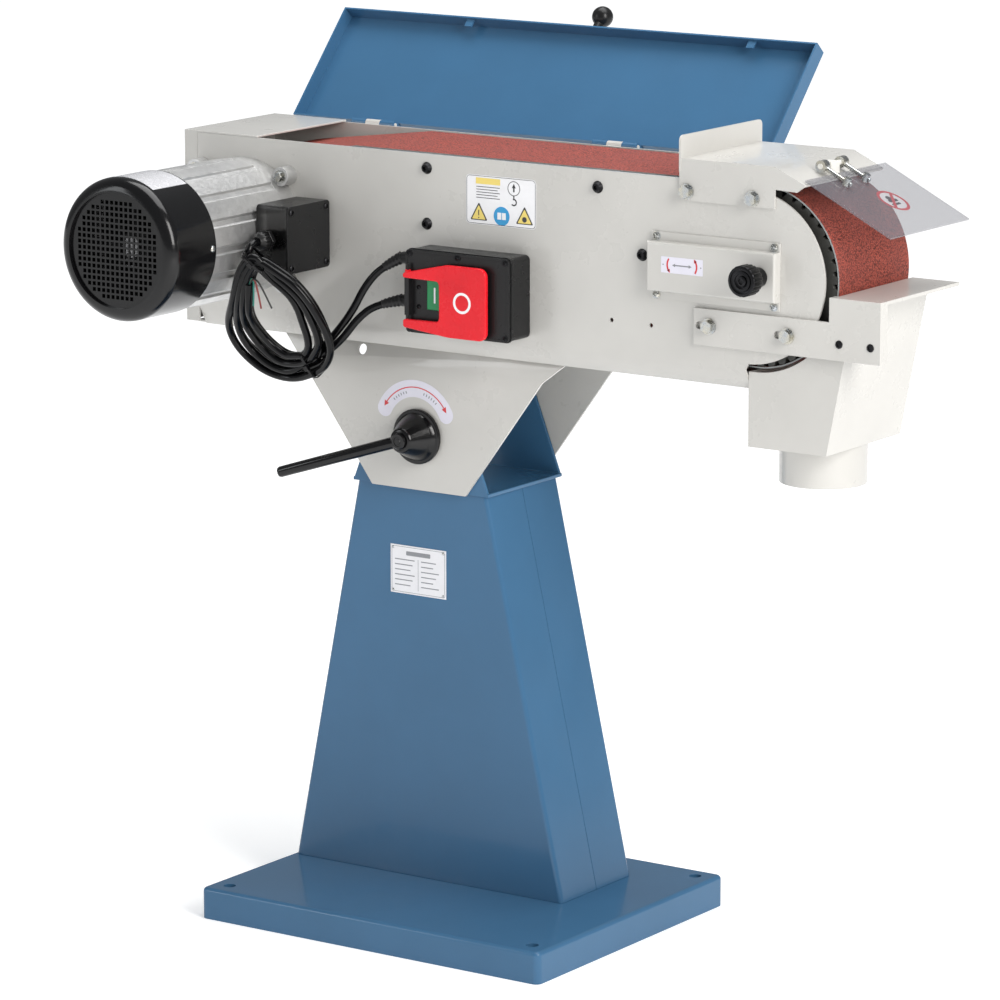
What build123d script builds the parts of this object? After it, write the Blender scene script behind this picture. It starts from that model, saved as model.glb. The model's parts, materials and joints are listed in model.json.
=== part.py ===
"""Pedestal belt grinder: a 150 mm abrasive belt on a tilting arm, over a folded steel column.

Millimetres.  +X points from the motor to the contact wheel, +Y away from the motor's side, +Z up.
The origin is on the floor, in the middle of the four floor bolts.
"""
from build123d import *
import math
import os

# ---- driving dimensions ------------------------------------------------------------------------
SHEET = 3.0                                   # sheet steel of base, column and arm
BASE_LENGTH, BASE_WIDTH, BASE_HEIGHT = 472.0, 388.0, 37.0
FLOOR_HOLE_X, FLOOR_HOLE_Y, FLOOR_HOLE_R = 424.0, 340.0, 7.0

COLUMN_FOOT = (-230.0, 149.0)                 # x of the column's sides at the base
COLUMN_HEAD = (-137.0, 44.0)                  # and at its top
COLUMN_TOP = 501.0
COLUMN_Y = (-16.0, 129.0)
MID_Y = sum(COLUMN_Y) / 2                     # the machine's middle plane

PIVOT_X, PIVOT_Z = -46.0, 563.0               # tilt axis of the arm
PIVOT_R = 8.0
EAR_PLATE = 4.0
RUN_GAP = 0.6                                 # between the ears and the arm's yoke

ARM_Y = (-31.0, 2 * MID_Y + 31.0)             # outer faces of the arm's two panels
ARM_LEFT, ARM_TOP = -354.0, 891.0
ARM_FOLD, ARM_BOTTOM = 686.0, 664.0           # lower bend line and lower edge of the panels
LIP_IN = 13.0                                 # how far the bent lower lip runs inwards
STRIP_RIGHT = 397.0                           # right end of the lower lip
REAR_END = -373.0                             # outer face of the rear cover
REAR_COVER_RIGHT = -267.0

WHEEL_X, AXIS_Z = 405.8, 789.3                # contact wheel axis
MOTOR_X = -283.0                              # drive wheel and motor axis
CONTACT_R, DRIVE_R = 100.0, 80.0              # inside of the belt on the two wheels
BELT_GAP = 0.8                                # drawn between each wheel and the belt
BELT_THICK, BELT_WIDTH = 1.8, 150.0
BELT_Y = (MID_Y - BELT_WIDTH / 2, MID_Y + BELT_WIDTH / 2)
NOSE_X, NOSE_R = WHEEL_X - 5, 96.0            # rounded nose of the panels

MOTOR_FACE = ARM_Y[0]                         # flange face of the motor
COWL_FRONT, COWL_BACK = -276.0, -196.0
COWL_R, FRAME_R = 82.0, 80.5                  # cowl, and the frame over its ridges
COWL_WALL = 2.0
SHAFT_R = 12.0

CORD_R = 4.5                                  # motor cable and supply cord
HANK_THICK = 22.0

FIT = 0.05                                    # radial clearance of a running fit

made = {}


# ---- helpers -----------------------------------------------------------------------------------
def block(x, y, z):
    """Box between the (low, high) pairs x, y and z."""
    pairs = (x, y, z)
    size = [high - low for low, high in pairs]
    centre = [(low + high) / 2 for low, high in pairs]
    return Pos(*centre) * Box(*size)


def rod(start, end, radius):
    """Round bar from start to end."""
    way = Vector(*end) - Vector(*start)
    plane = Plane(origin=start, z_dir=way)
    return plane * Cylinder(radius, way.length, align=(Align.CENTER, Align.CENTER, Align.MIN))


def cone(start, end, first, last):
    """Tapered round bar from radius first at start to radius last at end."""
    way = Vector(*end) - Vector(*start)
    plane = Plane(origin=start, z_dir=way)
    return plane * Cone(first, last, way.length, align=(Align.CENTER, Align.CENTER, Align.MIN))


def across(x, z, radius, y):
    """Round bar along Y between the pair y."""
    return rod((x, y[0], z), (x, y[1], z), radius)


def ring(x, z, outer, inner, y):
    """Tube along Y."""
    return across(x, z, outer, y) - across(x, z, inner, (y[0] - 1, y[1] + 1))


def side(points, y):
    """Outline of (x, z) points, between the pair y."""
    face = make_face(Polyline(*[(u, y[0], w) for u, w in points], close=True))
    return extrude(face, y[1] - y[0], dir=(0, 1, 0))


def end(points, x):
    """Outline of (y, z) points, between the pair x."""
    face = make_face(Polyline(*[(x[0], u, w) for u, w in points], close=True))
    return extrude(face, x[1] - x[0], dir=(1, 0, 0))


def band(path, thickness):
    """Outline of a bent sheet: an open path of 2-D points, thickened to its left."""
    normals = []
    for (a, b), (c, d) in zip(path, path[1:]):
        length = math.hypot(c - a, d - b)
        normals.append(((b - d) / length, (c - a) / length))
    normals = [normals[0]] + normals + [normals[-1]]
    back = []
    for (u, w), n, m in zip(path, normals, normals[1:]):
        share = thickness / (1 + n[0] * m[0] + n[1] * m[1])
        back.append((u + share * (n[0] + m[0]), w + share * (n[1] + m[1])))
    return list(path) + back[::-1]


def hexagon(start, end_point, across_flats):
    """Hexagonal bar from start to end_point."""
    way = Vector(*end_point) - Vector(*start)
    plane = Plane(origin=start, z_dir=way)
    return extrude(plane * RegularPolygon(across_flats / math.sqrt(3), 6), way.length)


def mirrored(shape):
    """The same piece on the far side of the machine's middle plane."""
    return mirror(shape, about=Plane.XZ.offset(-MID_Y))


def keep(name, *shapes):
    """Record a node: one solid, or a group of separate solids."""
    made[name] = shapes[0] if len(shapes) == 1 else Compound(children=list(shapes))


# ---- base and column ---------------------------------------------------------------------------
def floor_holes():
    return [(i * FLOOR_HOLE_X / 2, j * FLOOR_HOLE_Y / 2) for i in (-1, 1) for j in (-1, 1)]


def base_tray():
    """Folded tray, open below, with a welded tube under each floor hole."""
    corner, brow, tube_r = 8, 5, 13
    outer = extrude(RectangleRounded(BASE_LENGTH, BASE_WIDTH, corner), BASE_HEIGHT)
    outer = fillet(outer.faces().sort_by(Axis.Z)[-1].edges(), brow)
    inside = RectangleRounded(BASE_LENGTH - 2 * SHEET, BASE_WIDTH - 2 * SHEET, corner - SHEET)
    hollow = extrude(inside, BASE_HEIGHT - SHEET)
    tray = outer - hollow
    for x, y in floor_holes():
        tray += rod((x, y, 0), (x, y, BASE_HEIGHT - 1), tube_r)
    for x, y in floor_holes():
        tray -= rod((x, y, -1), (x, y, BASE_HEIGHT + 1), FLOOR_HOLE_R)
    return tray


def column_shells():
    """Two U-shaped sheets that meet at an upright seam in each side."""
    seam, bend = 0.25, 5.0
    lean = (COLUMN_FOOT[1] - COLUMN_HEAD[1]) / (COLUMN_TOP - BASE_HEIGHT)
    inset = SHEET * math.hypot(1, lean)
    outline = [(COLUMN_FOOT[0], BASE_HEIGHT), (COLUMN_FOOT[1], BASE_HEIGHT),
               (COLUMN_HEAD[1], COLUMN_TOP), (COLUMN_HEAD[0], COLUMN_TOP)]
    inner = [(u + (inset if u < middle_x(w) else -inset), w) for u, w in outline]
    body = side(outline, COLUMN_Y)
    upright = body.edges().filter_by(lambda e: abs(e.tangent_at(0.5).Z) > 0.9)
    body = fillet(upright, bend)
    body -= side(inner, (COLUMN_Y[0] + SHEET, COLUMN_Y[1] - SHEET))
    wide = (-400, 400)
    front = body & block(wide, (-100, MID_Y - seam), (0, 600))
    rear = body & block(wide, (MID_Y + seam, 200), (0, 600))
    return front, rear


def middle_x(z):
    """Middle of the column's width at height z."""
    share = (z - BASE_HEIGHT) / (COLUMN_TOP - BASE_HEIGHT)
    return sum(COLUMN_FOOT) / 2 * (1 - share) + sum(COLUMN_HEAD) / 2 * share


def pivot_bracket():
    """Bent U: a plate on the column's top and two ears with leaning sides."""
    half_foot, half_head, ear_top = 95.0, 51.0, 615.0
    outer = (COLUMN_Y[0] - 3, COLUMN_Y[1] + 3)
    plate_top = COLUMN_TOP + EAR_PLATE
    bracket = block((PIVOT_X - half_foot, PIVOT_X + half_foot), outer, (COLUMN_TOP, plate_top))
    ear = [(PIVOT_X - half_foot, COLUMN_TOP), (PIVOT_X + half_foot, COLUMN_TOP),
           (PIVOT_X + half_head, ear_top), (PIVOT_X - half_head, ear_top)]
    for y in ((outer[0], outer[0] + EAR_PLATE), (outer[1] - EAR_PLATE, outer[1])):
        bracket += side(ear, y)
    return bracket - across(PIVOT_X, PIVOT_Z, PIVOT_R, (-100, 200))


YOKE_FRONT = COLUMN_Y[0] - 3 - RUN_GAP        # inner face of the yoke's front plate


def pivot_bolt():
    """Clamp bolt through ears and yoke, with a hexagon head at the back."""
    back = 2 * MID_Y - YOKE_FRONT + SHEET
    return (across(PIVOT_X, PIVOT_Z, PIVOT_R, (-62, back + 1))
            + hexagon((PIVOT_X, back + 1, PIVOT_Z), (PIVOT_X, back + 12, PIVOT_Z), 30))


def rating_plate():
    """Thin plate riveted to the column's front."""
    return block((-90, -12), (COLUMN_Y[0] - 0.6, COLUMN_Y[0]), (374, 431))


# ---- arm: yoke, panels, covers -----------------------------------------------------------------
def yoke_plate():
    """Front side plate under the arm: tapered, bent inwards along its upper edge."""
    foot, bend, half_foot, half_bend, half_top, run_in = 500.0, 641.5, 65.5, 170.0, 196.0, 10.0
    hole_x, hole_z, hole_r = -129, 655, 6
    out = YOKE_FRONT - SHEET
    path = [(out + run_in, ARM_BOTTOM), (out, bend), (out, foot)]
    sheet = end(band(path, SHEET), (-300, 200))
    outline = [(PIVOT_X - half_foot, foot), (PIVOT_X + half_foot, foot), (PIVOT_X + half_bend, bend),
               (PIVOT_X + half_top, ARM_BOTTOM), (PIVOT_X - half_top, ARM_BOTTOM),
               (PIVOT_X - half_bend, bend)]
    plate = sheet & side(outline, (-60, 20))
    lift_hole = across(hole_x, hole_z, hole_r, (-60, 20))
    return plate - across(PIVOT_X, PIVOT_Z, PIVOT_R + FIT, (-60, 20)) - lift_hole


def nose_outline(top, radius, fold):
    """Arm panel: straight, with a round nose about the contact wheel."""
    y, shoulder = ARM_Y[0], 26
    arc = ThreePointArc((NOSE_X, y, AXIS_Z + radius), (NOSE_X + radius, y, AXIS_Z),
                        (NOSE_X, y, AXIS_Z - radius))
    lines = Polyline((NOSE_X, y, AXIS_Z - radius), (STRIP_RIGHT, y, fold), (ARM_LEFT, y, fold),
                     (ARM_LEFT, y, top), (NOSE_X - shoulder, y, top), (NOSE_X, y, AXIS_Z + radius))
    return make_face(Wire([*arc.edges(), *lines.edges()]))


SHAFT_HOLE_R = 30.0
SMALL_HOLES = [(223, 725), (275, 724)]


def arm_panel(front):
    """Side panel with its lower lip bent inwards; the front one carries the motor."""
    panel = extrude(nose_outline(ARM_TOP, NOSE_R, ARM_FOLD), SHEET, dir=(0, 1, 0))
    lip_path = [(ARM_Y[0] + LIP_IN, ARM_BOTTOM), (ARM_Y[0], ARM_FOLD)]
    lip = end(band(lip_path[::-1], SHEET), (ARM_LEFT, STRIP_RIGHT))
    lip = lip & block((-400, 500), (-60, 0), (ARM_BOTTOM, ARM_FOLD + 2))
    panel += lip
    if front:
        panel -= across(MOTOR_X, AXIS_Z, SHAFT_HOLE_R, (-60, 0))
        for x, z in SMALL_HOLES:
            panel -= across(x, z, 2.5, (-60, 0))
        for x, z in HEX_BOLTS + REST_BOLTS:
            panel -= across(x, z, 4, (-60, 0))
        panel -= across(TRACK_X, TRACK_Z, TRACK_SCREW_R + 6, (-60, 0))
        return panel
    return mirrored(panel)


def arm_bottom_plate():
    """Plate that closes the arm below and joins the two lips."""
    gap = LIP_IN + SHEET + 1.5
    return block((REAR_END + SHEET, STRIP_RIGHT), (ARM_Y[0] + gap, ARM_Y[1] - gap),
                 (ARM_BOTTOM, ARM_BOTTOM + SHEET))


def rear_cover():
    """Cap over the drive wheel's end: end wall, two short flanks and a top plate."""
    wall = block((REAR_END, REAR_END + SHEET), ARM_Y, (ARM_BOTTOM + 4, ARM_TOP))
    cap = block((REAR_END, REAR_COVER_RIGHT), ARM_Y, (ARM_TOP, ARM_TOP + 2.5))
    cover = wall + cap
    for y in ((ARM_Y[0], ARM_Y[0] + SHEET), (ARM_Y[1] - SHEET, ARM_Y[1])):
        cover += block((REAR_END, ARM_LEFT - 0.3), y, (ARM_BOTTOM + 4, ARM_TOP))
    return cover


SPACERS = [(-27, 811.5), (263, 801.5)]
PLATEN_SCREWS = [(-27, 875), (204, 872)]
PLATEN_X = (-135.0, 330.0)


def cross_spacers():
    """Two tie rods between the panels and the two bars that carry the platen."""
    inside = (ARM_Y[0] + SHEET, ARM_Y[1] - SHEET)
    rods = [across(x, z, 9, inside) for x, z in SPACERS]
    bars = [block((x - 14, x + 14), inside, (z - 10, PLATEN_Z)) for x, z in PLATEN_SCREWS]
    return rods + bars


PLATEN_Z = 881.0                              # underside of the platen
GRAPHITE_Z = 887.0


def platen():
    """Steel plate under the belt's upper run, bevelled where the belt comes on and leaves."""
    plate = block(PLATEN_X, (BELT_Y[0] + 3, BELT_Y[1] - 3), (PLATEN_Z, GRAPHITE_Z))
    ends = plate.edges().filter_by(Axis.Y).group_by(Axis.Z)[-1]
    return chamfer(ends, 3)


def graphite_pad():
    """Graphite-coated cloth on the platen, just under the belt."""
    low, high = PLATEN_X
    top = AXIS_Z + CONTACT_R - 0.3
    return block((low + 5, high - 5), (BELT_Y[0] + 2, BELT_Y[1] - 2), (GRAPHITE_Z, top))


def button_head(x, z, y, out):
    """Button-head socket screw on a panel face; out is -1 at the front, +1 at the back."""
    head = cone((x, y, z), (x, y + out * 4.4, z), 7, 4.5)
    return head - hexagon((x, y + out * 2, z), (x, y + out * 6, z), 5)


def panel_screws():
    screws = []
    for x, z in SPACERS + PLATEN_SCREWS:
        screws.append(button_head(x, z, ARM_Y[0], -1))
        screws.append(button_head(x, z, ARM_Y[1], 1))
    return screws


def belt():
    """Endless belt: round the contact wheel, flat over the platen, down to the drive wheel and back."""
    def loop(extra, y):
        big, small = CONTACT_R + extra, DRIVE_R + extra
        top = AXIS_Z + big
        run, rise = PLATEN_X[0] - MOTOR_X, big
        turn = math.atan2(rise, run) + math.acos(small / math.hypot(run, rise))
        lean = math.asin((big - small) / (WHEEL_X - MOTOR_X))
        down = (-math.sin(lean), -math.cos(lean))
        points = [(MOTOR_X + small * math.cos(turn), AXIS_Z + small * math.sin(turn)),
                  (PLATEN_X[0], top), (WHEEL_X, top),
                  (WHEEL_X + big * down[0], AXIS_Z + big * down[1]),
                  (MOTOR_X + small * down[0], AXIS_Z + small * down[1])]
        return side(points, y) + across(MOTOR_X, AXIS_Z, small, y) + across(WHEEL_X, AXIS_Z, big, y)

    return loop(BELT_THICK, BELT_Y) - loop(0, (BELT_Y[0] - 1, BELT_Y[1] + 1))


# ---- motor -------------------------------------------------------------------------------------
def motor_frame():
    """Extruded aluminium frame with wide, shallow ridges."""
    ridges, groove, bore, y = 16, 2.2, 66, (COWL_BACK, -58.0)
    points = []
    for i in range(ridges):
        for share, drop in ((0.0, 0), (0.68, 0), (0.74, groove), (0.94, groove)):
            turn = 2 * math.pi * (i + share) / ridges
            radius = FRAME_R - drop
            points.append((MOTOR_X + radius * math.cos(turn), AXIS_Z + radius * math.sin(turn)))
    return side(points, y) - across(MOTOR_X, AXIS_Z, bore, (y[0] - 1, y[1] + 1))


LUG_REACH = 88.0                              # radius of the flange's bolt circle
BEARING_R, SEAT_R = 26.0, 34.0                # motor bearings, and the bosses round them


def lug_spots(radius):
    """Four spots at 45 degrees round the motor axis."""
    reach = radius / math.sqrt(2)
    return [(MOTOR_X + i * reach, AXIS_Z + j * reach) for i in (-1, 1) for j in (-1, 1)]


def drive_end_bell():
    """Cast flange with four lugs; it is bolted to the arm's front panel."""
    rim, bore, lug_r = FRAME_R - 2, 66, 11
    bell = across(MOTOR_X, AXIS_Z, rim, (-58, MOTOR_FACE))
    for x, z in lug_spots(LUG_REACH):
        bell += across(x, z, lug_r, (-49, MOTOR_FACE))
    bell -= across(MOTOR_X, AXIS_Z, bore, (-59, -43))
    bell += ring(MOTOR_X, AXIS_Z, SEAT_R, BEARING_R, (-58, -42))
    bell -= across(MOTOR_X, AXIS_Z, SHAFT_R + 3, (-60, 0))
    return bell - across(MOTOR_X, AXIS_Z, BEARING_R, (-60, -43))


def fan_end_bell():
    """Plain end shield inside the cowl."""
    bell = ring(MOTOR_X, AXIS_Z, COWL_R - COWL_WALL, BEARING_R, (-208, COWL_BACK))
    return bell + ring(MOTOR_X, AXIS_Z, SEAT_R, BEARING_R, (COWL_BACK, -184))


def motor_bearings():
    """Deep-groove bearings, one in each end shield."""
    return [ring(MOTOR_X, AXIS_Z, BEARING_R, SHAFT_R + FIT, y) for y in ((-57, -43), (-206, -192))]


def motor_shaft():
    """Shaft from the fan to the drive wheel."""
    return across(MOTOR_X, AXIS_Z, SHAFT_R, (-246, 42))


def rotor_core():
    return ring(MOTOR_X, AXIS_Z, 40, SHAFT_R, (-172, -78))


def stator_core():
    return ring(MOTOR_X, AXIS_Z, 66, 40.8, (-170, -80))


def cooling_fan():
    """Hub with a back plate and eight straight blades."""
    y = (-240, -214)
    fan = across(MOTOR_X, AXIS_Z, 18, y) + across(MOTOR_X, AXIS_Z, 66, (-217, -214))
    blade = block((MOTOR_X - 1.5, MOTOR_X + 1.5), y, (AXIS_Z + 15, AXIS_Z + 66))
    axis = Axis((MOTOR_X, 0, AXIS_Z), (0, 1, 0))
    for i in range(8):
        fan += blade.rotate(axis, 45 * i)
    return fan - across(MOTOR_X, AXIS_Z, SHAFT_R, (-250, -200))


def fan_cowl():
    """Pressed cowl with a rounded shoulder and a sunken grille of square holes."""
    wall, shoulder, grille_r, sink = COWL_WALL, 15.0, 66.0, 4.0
    outer = across(MOTOR_X, AXIS_Z, COWL_R, (COWL_FRONT, COWL_BACK))
    outer = fillet(outer.faces().sort_by(Axis.Y)[0].edges(), shoulder)
    inner = across(MOTOR_X, AXIS_Z, COWL_R - wall, (COWL_FRONT + wall + sink, COWL_BACK + 1))
    inner = fillet(inner.faces().sort_by(Axis.Y)[0].edges(), shoulder - wall)
    cowl = outer - inner - across(MOTOR_X, AXIS_Z, grille_r, (COWL_FRONT - 1, COWL_FRONT + sink))
    pitch, hole, reach = 6.7, 4.4, 58.0
    count = int(reach / pitch)
    cutters = []
    for i in range(-count, count + 1):
        for j in range(-count, count + 1):
            if math.hypot(i, j) * pitch < reach:
                x, z = MOTOR_X + i * pitch, AXIS_Z + j * pitch
                cutters.append(block((x - hole / 2, x + hole / 2), (COWL_FRONT, COWL_FRONT + 12),
                                     (z - hole / 2, z + hole / 2)))
    return cowl - Compound(children=cutters)


TERMINAL_X = (-203.0, -166.0)
TERMINAL_Y, TERMINAL_Z = (-119.0, -38.5), (752.0, 829.5)
TERMINAL_WALL = 3.0


def terminal_box():
    """Open-fronted box on the motor's flank, hollow behind its lid."""
    outer = block(TERMINAL_X, TERMINAL_Y, TERMINAL_Z)
    outer = fillet(outer.edges().filter_by(Axis.X), 5)
    (left, right), (front, back), (foot, head) = TERMINAL_X, TERMINAL_Y, TERMINAL_Z
    wall = TERMINAL_WALL
    inner = block((left + 2 * wall, right + 1), (front + wall, back - wall), (foot + wall, head - wall))
    return outer - inner - across(MOTOR_X, AXIS_Z, FRAME_R + 0.2, (-200, -20))


def terminal_lid():
    """Lid with round upright edges."""
    lid = block((TERMINAL_X[1], TERMINAL_X[1] + 8), TERMINAL_Y, TERMINAL_Z)
    return fillet(lid.edges().filter_by(Axis.X), 5)


GLAND_X, GLAND_Z = -187.0, 790.0


def cable_gland():
    """Screwed gland on the terminal box, facing away from the arm."""
    y = TERMINAL_Y[0]
    gland = hexagon((GLAND_X, y, GLAND_Z), (GLAND_X, y - 6, GLAND_Z), 22)
    gland += cone((GLAND_X, y - 6, GLAND_Z), (GLAND_X, y - 20, GLAND_Z), 10, 7)
    return gland - across(GLAND_X, GLAND_Z, CORD_R, (y - 30, y + 1))


# ---- cords -------------------------------------------------------------------------------------
SWITCH_ENTRIES = [(-43.0, -57.0, 775.0), (-43.0, -57.0, 726.0)]
SUPPLY_ROUTE = [(-138, -90, 661), (-117, -86, 683), (-97, -80, 710), (-84, -72, 741), (-66, -64, 763),
                SWITCH_ENTRIES[0]]
MOTOR_ROUTE = [(-131, -92, 658), (-106, -88, 678), (-90, -78, 704), (-72, -66, 720), SWITCH_ENTRIES[1]]
# The tied hank hangs from the gland in a leaning plane: outline points across and up that plane.
HANK_FOOT_Y, HANK_FOOT_Z, HANK_LEAN = -82.0, 625.0, 0.45
HANK_OUTER = [(-168, 187), (-190, 166), (-209, 131), (-240, 90), (-251, 55), (-240, 20), (-214, 0),
              (-172, -6), (-144, 5), (-116, 22), (-99, 46), (-100, 74), (-119, 124),
              (-136, 142), (-156, 154)]
HANK_INNER = [(-176, 148), (-188, 120), (-198, 85), (-195, 62), (-186, 44), (-172, 36), (-150, 40),
              (-140, 50), (-139, 72), (-146, 116)]


def cord_tube(name, points):
    """Straight runs joined by arcs, as large as the shorter run beside each turn allows."""
    places = [Vector(*p) for p in points]
    radii = []
    for before, here, after in zip(places, places[1:], places[2:]):
        turn = math.radians((here - before).get_angle(after - here))
        run = min((here - before).length, (after - here).length)
        radii.append(0.45 * run / math.tan(turn / 2))
    print(name, "radii", [round(r) for r in radii])
    path = FilletPolyline(*points, radius=radii)
    section = Plane(origin=points[0], z_dir=places[1] - places[0]) * Circle(CORD_R)
    tube = sweep(section, path=path)
    print(name, "length", round(path.length), "volume ratio",
          round(tube.volume / (math.pi * CORD_R ** 2 * path.length), 3))
    return tube


def hank_plane():
    up = Vector(0, -HANK_LEAN, 1).normalized()
    return Plane(origin=(0, HANK_FOOT_Y, HANK_FOOT_Z), x_dir=(1, 0, 0), z_dir=Vector(1, 0, 0).cross(up))


def cord_hank():
    """Outer shape of the tied hank: a flat ring, narrow at its top and right."""
    def outline(points):
        return make_face(FilletPolyline(*points, radius=6, close=True))
    flat = outline(HANK_OUTER) - outline(HANK_INNER)
    return extrude(hank_plane() * flat, HANK_THICK / 2, both=True)


def cable_ties():
    """Two ties: round the hank's top and round its lower right."""
    plane = hank_plane()
    half, over = HANK_THICK / 2, 2.0
    ties = []
    for (x, s), (wide, tall), lean in (((-178, 168), (40, 5), -38), ((-146, 20), (5, 42), 22)):
        band_box = plane * (Pos(x, s, 0) * Rot(0, 0, lean) * Box(wide, tall, 2 * (half + over)))
        ties.append(band_box)
    return ties


def motor_cable():
    """The stub from the gland into the hank, and the lead from the hank to the switch."""
    stub = rod((GLAND_X, TERMINAL_Y[0] - 18, GLAND_Z), (GLAND_X, -152, GLAND_Z), CORD_R)
    return [stub, cord_tube("motor_cable", MOTOR_ROUTE)]


def supply_cord():
    """The lead from the switch to the hank, and its loose tail with the bare cores."""
    tail = rod((-176, -152, 780), (-182, -144, 748), CORD_R)
    return [cord_tube("supply_cord", SUPPLY_ROUTE), tail]


# ---- switch ------------------------------------------------------------------------------------
SWITCH_X, SWITCH_Z = (-27.0, 114.0), (694.0, 788.0)
SWITCH_FACE = -73.0
HINGE_X, HINGE_Y = -21.0, SWITCH_FACE - 4.0


def switch_housing():
    """Back box on the panel, with two strain reliefs on its left."""
    box = block(SWITCH_X, (-68, ARM_Y[0]), SWITCH_Z)
    box = fillet(box.edges().filter_by(Axis.Y), 6)
    (left, right), (foot, head) = SWITCH_X, SWITCH_Z
    box -= block((left + 3, right - 3), (-69, ARM_Y[0] - 3), (foot + 3, head - 3))
    for x, y, z in SWITCH_ENTRIES:
        box += cone((x, y, z), (SWITCH_X[0] + 1, y, z), 6.5, 8.5)
    return box


def switch_face():
    """Face plate with windows for the two buttons and an ear that carries the paddle."""
    plate = block(SWITCH_X, (SWITCH_FACE, -68), SWITCH_Z)
    plate = fillet(plate.edges().filter_by(Axis.Y), 6)
    for x, z in (START_SPOT, STOP_SPOT):
        plate -= block((x - 11 - 0.4, x + 11 + 0.4), (-80, -60), (z - 17 - 0.4, z + 17 + 0.4))
    ear = block((HINGE_X - 3, HINGE_X + 3), (HINGE_Y - 3, SWITCH_FACE), (714, 758))
    pin = rod((HINGE_X, HINGE_Y, 700), (HINGE_X, HINGE_Y, 772), 1.5)
    return plate + ear + pin


START_SPOT, STOP_SPOT = (15, 739), (62, 739)


def button(spot, front):
    x, z = spot
    key = block((x - 11, x + 11), (front, -64), (z - 17, z + 17))
    return fillet(key.faces().sort_by(Axis.Y)[0].edges(), 1.5)


def stop_paddle():
    """C-shaped flap hinged at the left; its two prongs pass above and below the start button."""
    back, thick = SWITCH_FACE - 4.0, 6.0
    plate = block((-6, 91), (back - thick, back), (697, 776))
    plate = fillet(plate.edges().filter_by(Axis.Y), 7)
    plate -= block((-7, 30), (back - thick - 1, back + 1), (715, 759))
    for z in ((701, 712), (761, 771)):
        plate += block((HINGE_X, 0), (back - 4, back), z)
        plate += rod((HINGE_X, HINGE_Y, z[0]), (HINGE_X, HINGE_Y, z[1]), 3.6)
        plate -= rod((HINGE_X, HINGE_Y, z[0] - 1), (HINGE_X, HINGE_Y, z[1] + 1), 1.5 + FIT)
    return plate


# ---- guard, shield, work rest, hopper ----------------------------------------------------------
GUARD_X = (312.0, 434.0)
GUARD_TOP = 913.0
SLOPE = ((434.0, 913.0), (472.0, 895.5))
HEX_BOLTS = [(322, 877), (406, 876)]
REST_BOLTS = [(353, 731), (453, 730)]
GUARD_SHEET = 2.5


def guard_hood():
    """Bolted hood over the wheel: front flange, top, sloping nose and an upright belt stop."""
    outer = ARM_Y[0] - GUARD_SHEET
    low_x, high_x = GUARD_X
    top = band([SLOPE[1], SLOPE[0], (low_x, GUARD_TOP)], GUARD_SHEET)
    hood = side(top, (outer, 134))
    (fold_x, fold_z), (tip_x, tip_z) = SLOPE
    flange = [(low_x, 867), (high_x, 867), (high_x, 888), (462, 887), (tip_x - 1, tip_z - 2),
              (fold_x, fold_z - 1), (low_x, GUARD_TOP - 1)]
    hood += side(flange, (outer, ARM_Y[0]))
    for x, z in HEX_BOLTS:
        hood -= across(x, z, 4, (-60, 0))
    stop = block((low_x, low_x + 2.5), (outer - 1, 135), (895, 938))
    stop = fillet(stop.edges().filter_by(Axis.X), 6)
    return hood + stop


SHIELD_AXIS = (462.0, 910.0)
SHIELD_LINE = ((470.0, 899.0), (577.0, 845.5))
SHIELD_SHEET = 2.5


def hinge_block():
    """Block on the hood's nose with the pin that the shield's clamps turn on."""
    x, z = SHIELD_AXIS
    low_x, high_x = x - 9, x + 4
    slope = (SLOPE[1][1] - SLOPE[0][1]) / (SLOPE[1][0] - SLOPE[0][0])
    low_z, high_z = (SLOPE[0][1] + slope * (u - SLOPE[0][0]) for u in (low_x, high_x))
    foot = side([(low_x, z + 3), (high_x, z + 3), (high_x, high_z), (low_x, low_z)], (31, 49))
    return foot + rod((x, 14, z), (x, 66, z), 3)


def shield():
    """Clear plate in front of the belt."""
    return side(band(SHIELD_LINE, SHIELD_SHEET), (-31, 139))


def shield_clamps():
    """Two eye clamps with their feet, holding the shield to the pin."""
    (ax, az), (start, far_end) = SHIELD_AXIS, SHIELD_LINE
    run = math.hypot(far_end[0] - start[0], far_end[1] - start[1])
    ux, uz = (far_end[0] - start[0]) / run, (far_end[1] - start[1]) / run
    nx, nz = -uz, ux
    height = (ax - start[0]) * nx + (az - start[1]) * nz - SHIELD_SHEET
    reach = 34
    clamps = []
    for y in (20, 60):
        fx, fz = ax + reach * ux, az + reach * uz
        clamp = rod((ax, y - 5, az), (ax, y + 5, az), 6.5)
        clamp += rod((ax + 3 * ux, y, az + 3 * uz), (fx + 6 * ux, y, fz + 6 * uz), 2.5)
        clamp += rod((fx + 5 * nx, y, fz + 5 * nz), (fx - height * nx, y, fz - height * nz), 4)
        clamp -= rod((ax, y - 6, az), (ax, y + 6, az), 3 + FIT)
        clamps.append(clamp)
    return clamps


def hex_bolt(x, z, face):
    """M8 bolt with washer, its head in front of the face plane."""
    return (across(x, z, 9, (face - 1.6, face)) + hexagon((x, face - 1.6, z), (x, face - 7.4, z), 13)
            + across(x, z, 3.9, (face - 1, -22)))


def hex_bolts():
    guard = [hex_bolt(x, z, ARM_Y[0] - GUARD_SHEET) for x, z in HEX_BOLTS]
    rest = [hex_bolt(x, z, REST_FACE) for x, z in REST_BOLTS]
    return guard + rest


REST_THICK = 4.0
REST_FACE = ARM_Y[0] - 0.3 - REST_THICK - 0.2
REST_TRAVEL = 12.0
REST_TOP = 777.0


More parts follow.
